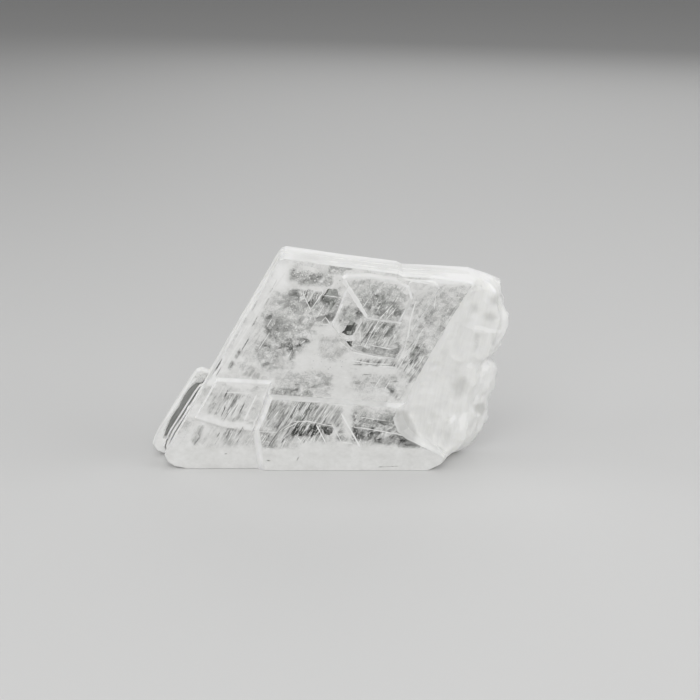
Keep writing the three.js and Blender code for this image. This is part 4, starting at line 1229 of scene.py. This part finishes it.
class Finish:
    """A material being made, with the patterns that the finishes share."""

    def __init__(self, name):
        self.material = bpy.data.materials.new(name)
        self.material.use_nodes = True
        self.tree = self.material.node_tree
        self.tree.nodes.clear()
        self.base = Value(self.tree, None)
        self.place = self.node("ShaderNodeTexCoord", output="Object")

    def node(self, kind, inputs=(), output=0, **settings):
        return self.base.node(kind, inputs, output, **settings)

    def kept(self, name):
        """Numbers kept on the mesh under this name."""
        return self.node("ShaderNodeAttribute", output="Fac", attribute_name=name)

    def along(self, degrees, length, width, depth=None):
        """Coordinates turned within the broad face: a unit is length along it and width across it."""
        turn = {"Vector": self.place, "Angle": math.radians(degrees)}
        turned = self.node("ShaderNodeVectorRotate", turn, rotation_type="Y_AXIS")
        size = Vector((1 / length, 1 / (depth or width), 1 / width)) / MM
        return self.node("ShaderNodeVectorMath", {0: turned, 1: size}, operation="MULTIPLY")

    def cloud(self, coordinates, detail=2.0, roughness=0.5):
        inputs = {"Vector": coordinates, "Scale": 1.0, "Detail": detail, "Roughness": roughness}
        return self.node("ShaderNodeTexNoise", inputs)

    def shards(self, coordinates):
        """An angular mosaic, each shard with its own value from 0 to 1."""
        found = self.node("ShaderNodeTexVoronoi", {"Vector": coordinates, "Scale": 1.0}, output="Color")
        return self.node("ShaderNodeSeparateColor", {"Color": found}, output="Red")

    def seams(self, coordinates, width):
        """The borders between shards a fifth as large: 1 on them, and 0 everywhere else."""
        inputs = {"Vector": coordinates, "Scale": 5.0}
        away = self.node("ShaderNodeTexVoronoi", inputs, feature="DISTANCE_TO_EDGE")
        return 1 - away.between(0, width)

    def blend(self, share, first, second):
        """A colour from first to second. The Mix node's sockets for colours are numbered 6, 7 and 2."""
        inputs = {"Factor": share, 6: (*first, 1), 7: (*second, 1)}
        return self.node("ShaderNodeMix", inputs, output=2, data_type="RGBA")

    def surface(self, **inputs):
        named = {name.replace("_", " "): value for name, value in inputs.items()}
        return self.node("ShaderNodeBsdfPrincipled", named)

    def done(self, **inputs):
        """The material, with its surface and perhaps its volume."""
        end = self.tree.nodes.new("ShaderNodeOutputMaterial")
        for name, value in inputs.items():
            self.tree.links.new(value.socket, end.inputs[name])
        return self.material

    def crystal(self, milkiness=None, colour=None):
        """Clear crystal with a faint tint, and milky crystal of this colour over it."""
        surface = self.surface(
            Base_Color=CLEAR_COLOUR, Roughness=CLEAR_ROUGHNESS, IOR=GLASS_IOR, Transmission_Weight=1.0,
        )
        if milkiness:
            milky = self.surface(
                Base_Color=colour, Roughness=MILKY_ROUGHNESS, IOR=GLASS_IOR, Subsurface_Weight=MILK_GLOW,
                Subsurface_Radius=MILK_SPREAD, Subsurface_Scale=MILK_DEPTH * MM,
            )
            surface = self.node("ShaderNodeMixShader", {0: milkiness, 1: surface, 2: milky})
        tint = self.node("ShaderNodeVolumeAbsorption", {"Color": TINT, "Density": TINT_DENSITY})
        return self.done(Surface=surface, Volume=tint)


# ---------------------------------------------------------------- finishes

GLASS_IOR = 1.52
CLEAR_COLOUR = (0.98, 0.985, 0.975, 1)
TINT = (0.54, 0.56, 0.53, 1)  # what is left of white light
TINT_DENSITY = 100.0  # for each metre
CLEAR_ROUGHNESS = 0.02
MILKY_ROUGHNESS = 0.42
MILK_GLOW = 0.3  # share of the light that spreads inside milky crystal
MILK_DEPTH = 2.0  # how far, and how much of that in red, green and blue
MILK_SPREAD = (1.0, 1.0, 0.9)

# The darkest and palest colour of each finish, and how milky it is at least, and how much more at most.
EDGE_COLOURS = ((0.82, 0.82, 0.805), (0.96, 0.96, 0.945))
EDGE_MILK = (0.82, 0.16)
TOP_COLOURS = ((0.74, 0.74, 0.725), (0.98, 0.98, 0.97))
TOP_MILK = 0.96
BREAK_COLOURS = ((0.72, 0.72, 0.70), (0.98, 0.98, 0.965))
BREAK_MILK = (0.84, 0.14)
RIM_COLOURS = ((0.62, 0.62, 0.605), (0.96, 0.96, 0.95))
RIM_MILK = (0.94, 0.06)
HAZE_COLOURS = ((0.74, 0.74, 0.722), (0.94, 0.94, 0.93))
HAZE_ROUGHNESS = 0.5
HAZE_COVER = 0.97  # the most that a veil hides

# Patterns: direction in degrees, length, width and, where it isn't the width, depth.
LINES = 59  # direction of the fine lines along the left side
THROUGH = 8.0  # so deep that all the veils share much of a pattern
EDGE_LINES = (LINES, 9.0, 6.0, 0.22)
EDGE_PATCHES = (LINES, 8.0, 3.0)
TOP_CLOUDS = (0, 9.0, 3.0)
BREAK_CLOUDS = (75, 9.0, 3.0)
BREAK_SILK = (80, 5.0, 0.5)
RIM_SPECKS = (0, 1.6, 1.6)
BLOTS = (0, 3.2, 2.6, THROUGH)
BLOOM = (0, 0.9, 0.7, THROUGH)
CRUMBLE = (0, 0.7, 0.6, THROUGH)
SHARDS = (10, 1.3, 0.9, THROUGH)
FLAT_SEAMS = (20, 1.6, 1.0, THROUGH)
STEEP_SEAMS = (75, 1.1, 0.8, THROUGH)
STREAKS = (LINES, 5.0, 0.5, THROUGH)
NEEDLES = (LINES, 3.6, 0.5, THROUGH)

# Which faces of the crystal get which finish.
CLEAR_FACE, EDGES, BROKEN, RIMS, TOP = range(5)
TOP_FROM = 41.5  # height above which the top side is
FACING_UP = 0.6  # the top's least share of a face's direction
FACING_FRONT = 0.995  # a broad face's, to the front or back
FACING_RIM = 0.2  # and a terrace rim's
ON_PLANE = 0.01  # faces this near to the stack's front or back plane lie on it
OFF_PLANE = 0.02  # and terraces lie this far outside it
BEFORE_BREAK = 0.1  # how far left of its edge the broken side starts
CRISP_ANGLE = 14.0  # edges with a sharper turn than this look crisp, in degrees


def clear_face():
    """The broad cleavage faces and the clear inside behind them."""
    return Finish("clear_cleavage_face").crystal()


def sheet_edges():
    """The sides, where the edges of many sheets lie over each other."""
    finish = Finish("sheet_edges")
    lines = finish.cloud(finish.along(*EDGE_LINES), detail=3)
    patches = finish.cloud(finish.along(*EDGE_PATCHES), detail=2)
    share = (lines * 0.4 + patches * 0.9).between(0.4, 0.8)
    return finish.crystal(share.ranging(*EDGE_MILK), finish.blend(lines.between(0.3, 0.6), *EDGE_COLOURS))


def top_side():
    """The flat top: even and milky, with a few greyer places."""
    finish = Finish("top_side")
    level = finish.kept("milk") + finish.cloud(finish.along(*TOP_CLOUDS), detail=2).spread(0.5)
    return finish.crystal(TOP_MILK, finish.blend(level, *TOP_COLOURS))


def broken_side():
    """The broken side: milky, silky, with soft cloudy patches."""
    finish = Finish("broken_side")
    clouds = finish.cloud(finish.along(*BREAK_CLOUDS), detail=3)
    silk = finish.cloud(finish.along(*BREAK_SILK), detail=3)
    level = finish.kept("milk") + clouds.spread(0.5) + silk.spread(0.35)
    return finish.crystal(level.between(-0.2, 0.9).ranging(*BREAK_MILK), finish.blend(level, *BREAK_COLOURS))


def plate_rims():
    """The slanted rims of the terraces, whiter than the faces they end."""
    finish = Finish("plate_rims")
    specks = finish.cloud(finish.along(*RIM_SPECKS), detail=3)
    colour = finish.blend(finish.kept("milk") + specks.spread(0.6), *RIM_COLOURS)
    return finish.crystal(specks.between(0.2, 0.5).ranging(*RIM_MILK), colour)


def haze():
    """The veils: white where the haze is whole, and mottled or streaked with clear spots where it isn't."""
    finish = Finish("haze")
    milk, lined, glint = (finish.kept(name) for name in ("milk", "streak", "glint"))
    blots = finish.cloud(finish.along(*BLOTS), detail=2)
    crumbs = finish.cloud(finish.along(*CRUMBLE), detail=2, roughness=0.7)
    streaks = finish.cloud(finish.along(*STREAKS), detail=3, roughness=0.65)
    bloom = finish.cloud(finish.along(*BLOOM), detail=3, roughness=0.6)
    shards = finish.shards(finish.along(*SHARDS))
    needles = finish.shards(finish.along(*NEEDLES))
    seams = finish.seams(finish.along(*FLAT_SEAMS), 0.10)
    seams = seams.most(finish.seams(finish.along(*STEEP_SEAMS), 0.12) * 0.8)
    crumbly = shards.spread(0.7) + crumbs.spread(1.1) + seams * 0.75 - 0.26
    stringy = streaks.spread(1.9) + needles.spread(0.7)
    # Whole haze is hardly uneven.
    uneven = (crumbly * (1 - lined) + stringy * lined) * (1.1 - milk * 0.95) + blots.spread(0.6)
    cover = (milk * 1.35 - 0.2 + uneven).between(0.0, 0.95)
    # glint makes the colour paler: for white cracks, splits and crumbs, and for the painted highlights along
    # terrace rims
    tone = blots.spread(1.0) + bloom.spread(0.8) + 0.4 + glint * 0.8
    colour = finish.blend(tone, *HAZE_COLOURS)
    film = finish.surface(Base_Color=colour, Roughness=HAZE_ROUGHNESS, Alpha=cover * HAZE_COVER)
    return finish.done(Surface=film)


def read(items, name, kind, width=1):
    """A value of each of a mesh's items, as one array for each of its parts."""
    values = np.empty(width * len(items), kind)
    items.foreach_get(name, values)
    return values.reshape(-1, width).T if width > 1 else values


def side_milk(data):
    """Keeps how milky each point is, from where it shows through the front plane."""
    x, y, z = read(data.vertices, "co", float, 3) / MM
    behind = y - FRONT
    x = x - SHIFT - (x - TARGET[0]) * behind / (DISTANCE + behind)
    z = z + LIFT * behind
    milk = np.full(len(x), SIDE_MILK)
    for white, blur, outline in SIDE_HAZES:
        milk += (white - milk) * soft_share(outline, blur, x, z)
    data.attributes.new("milk", "FLOAT", "POINT").data.foreach_set("value", milk)


def place_finishes(body):
    """Gives each face of the crystal its finish, and keeps crisp edges where they belong."""
    data = body.data
    side_milk(data)
    data.materials.clear()
    for made in (clear_face(), sheet_edges(), broken_side(), plate_rims(), top_side()):
        data.materials.append(made)
    x, y, z = read(data.polygons, "center", float, 3) / MM
    sideways, facing, up = read(data.polygons, "normal", float, 3)
    facing = abs(facing)
    between_planes = (y > FRONT + ON_PLANE) & (y < BACK - ON_PLANE)
    broken = between_planes & (past_break(x - SHIFT, z) > -BEFORE_BREAK) & (z < TOP_FROM)
    top = (up > FACING_UP) & (z > TOP_FROM)
    rim = (facing > FACING_RIM) & ((y < FRONT - OFF_PLANE) | (y > BACK + OFF_PLANE))
    kinds = np.select([broken, top, facing > FACING_FRONT, rim], [BROKEN, TOP, CLEAR_FACE, RIMS], EDGES)
    data.polygons.foreach_set("material_index", kinds.astype(np.int32))
    data.shade_smooth()
    data.set_sharp_from_angle(angle=math.radians(CRISP_ANGLE))
    # The broken side has no crisp edges, but a crisp border.
    edges = read(data.loops, "edge_index", np.int32)
    sizes = read(data.polygons, "loop_total", np.int32)
    crisp = read(data.attributes["sharp_edge"].data, "value", bool)
    beyond = np.zeros(len(data.edges), bool)
    beyond[edges[np.repeat(kinds != BROKEN, sizes)]] = True
    data.attributes["sharp_edge"].data.foreach_set("value", crisp & beyond)


place_finishes(body)
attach(body, "root")
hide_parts(NODE)
veil_finish = haze()
for veil in veils:
    veil.data.materials.append(veil_finish)
    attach(veil, "root")


# ---------------------------------------------------------------- stage, light and camera

FLOOR_SIZE = 4000
FLOOR_GAP = 0.05  # kept between the floor and the foot
FLOOR_COLOUR = (0.66, 0.66, 0.655, 1)
AROUND = (0.20, 0.20, 0.20, 1)  # the even light from all sides
# Soft lights, all aimed at one place: where each one is, its sides and its power.
LIGHT_AIM = (0, 0, 20)
LIGHTS = [
    ("key", (-60, -480, 420), (600, 600), 2.0),
    ("left", (-480, -80, 260), (400, 400), 0.88),
    ("right", (480, -120, 260), (400, 400), 1.02),
    ("top", (0, 120, 620), (500, 300), 0.7),
    ("back", (120, 520, 300), (500, 400), 0.5),
]
VEILS_CROSSED = 32  # how many veils, in front of each other, light passes through
ELEVATION = 18.0
LENS = 85.0
SENSOR = 36.0


def stage_floor():
    mesh = bmesh.new()
    bmesh.ops.create_grid(mesh, x_segments=1, y_segments=1, size=FLOOR_SIZE * MM / 2)
    floor = piece("floor", mesh)
    floor.location.z = -FLOOR_GAP * MM
    finish = Finish("pale_floor")
    floor.data.materials.append(finish.done(Surface=finish.surface(Base_Color=FLOOR_COLOUR, Roughness=0.6)))


def soft_light(name, place, size, power):
    data = bpy.data.lights.new(name, "AREA")
    data.shape = "RECTANGLE"
    data.size, data.size_y = (side * MM for side in size)
    data.energy = power
    lamp = placed(name, data)
    lamp.location = Vector(place) * MM
    lamp.rotation_euler = (Vector(place) - Vector(LIGHT_AIM)).to_track_quat("Z", "Y").to_euler()


def studio():
    world = bpy.data.worlds.new("studio")
    bpy.context.scene.world = world
    world.use_nodes = True
    world.node_tree.nodes["Background"].inputs["Color"].default_value = AROUND
    for light in LIGHTS:
        soft_light(*light)
    bpy.context.scene.cycles.transparent_max_bounces = VEILS_CROSSED
    bpy.context.scene.view_settings.view_transform = "Standard"


def camera():
    data = bpy.data.cameras.new("camera")
    data.lens = LENS
    data.sensor_width = SENSOR
    made = placed("camera", data)
    rise = math.radians(ELEVATION)
    back = Vector((0, -math.cos(rise), math.sin(rise)))
    made.location = (Vector(TARGET) + DISTANCE * back) * MM
    made.rotation_euler = back.to_track_quat("Z", "Y").to_euler()
    bpy.context.scene.camera = made


stage_floor()
studio()
camera()
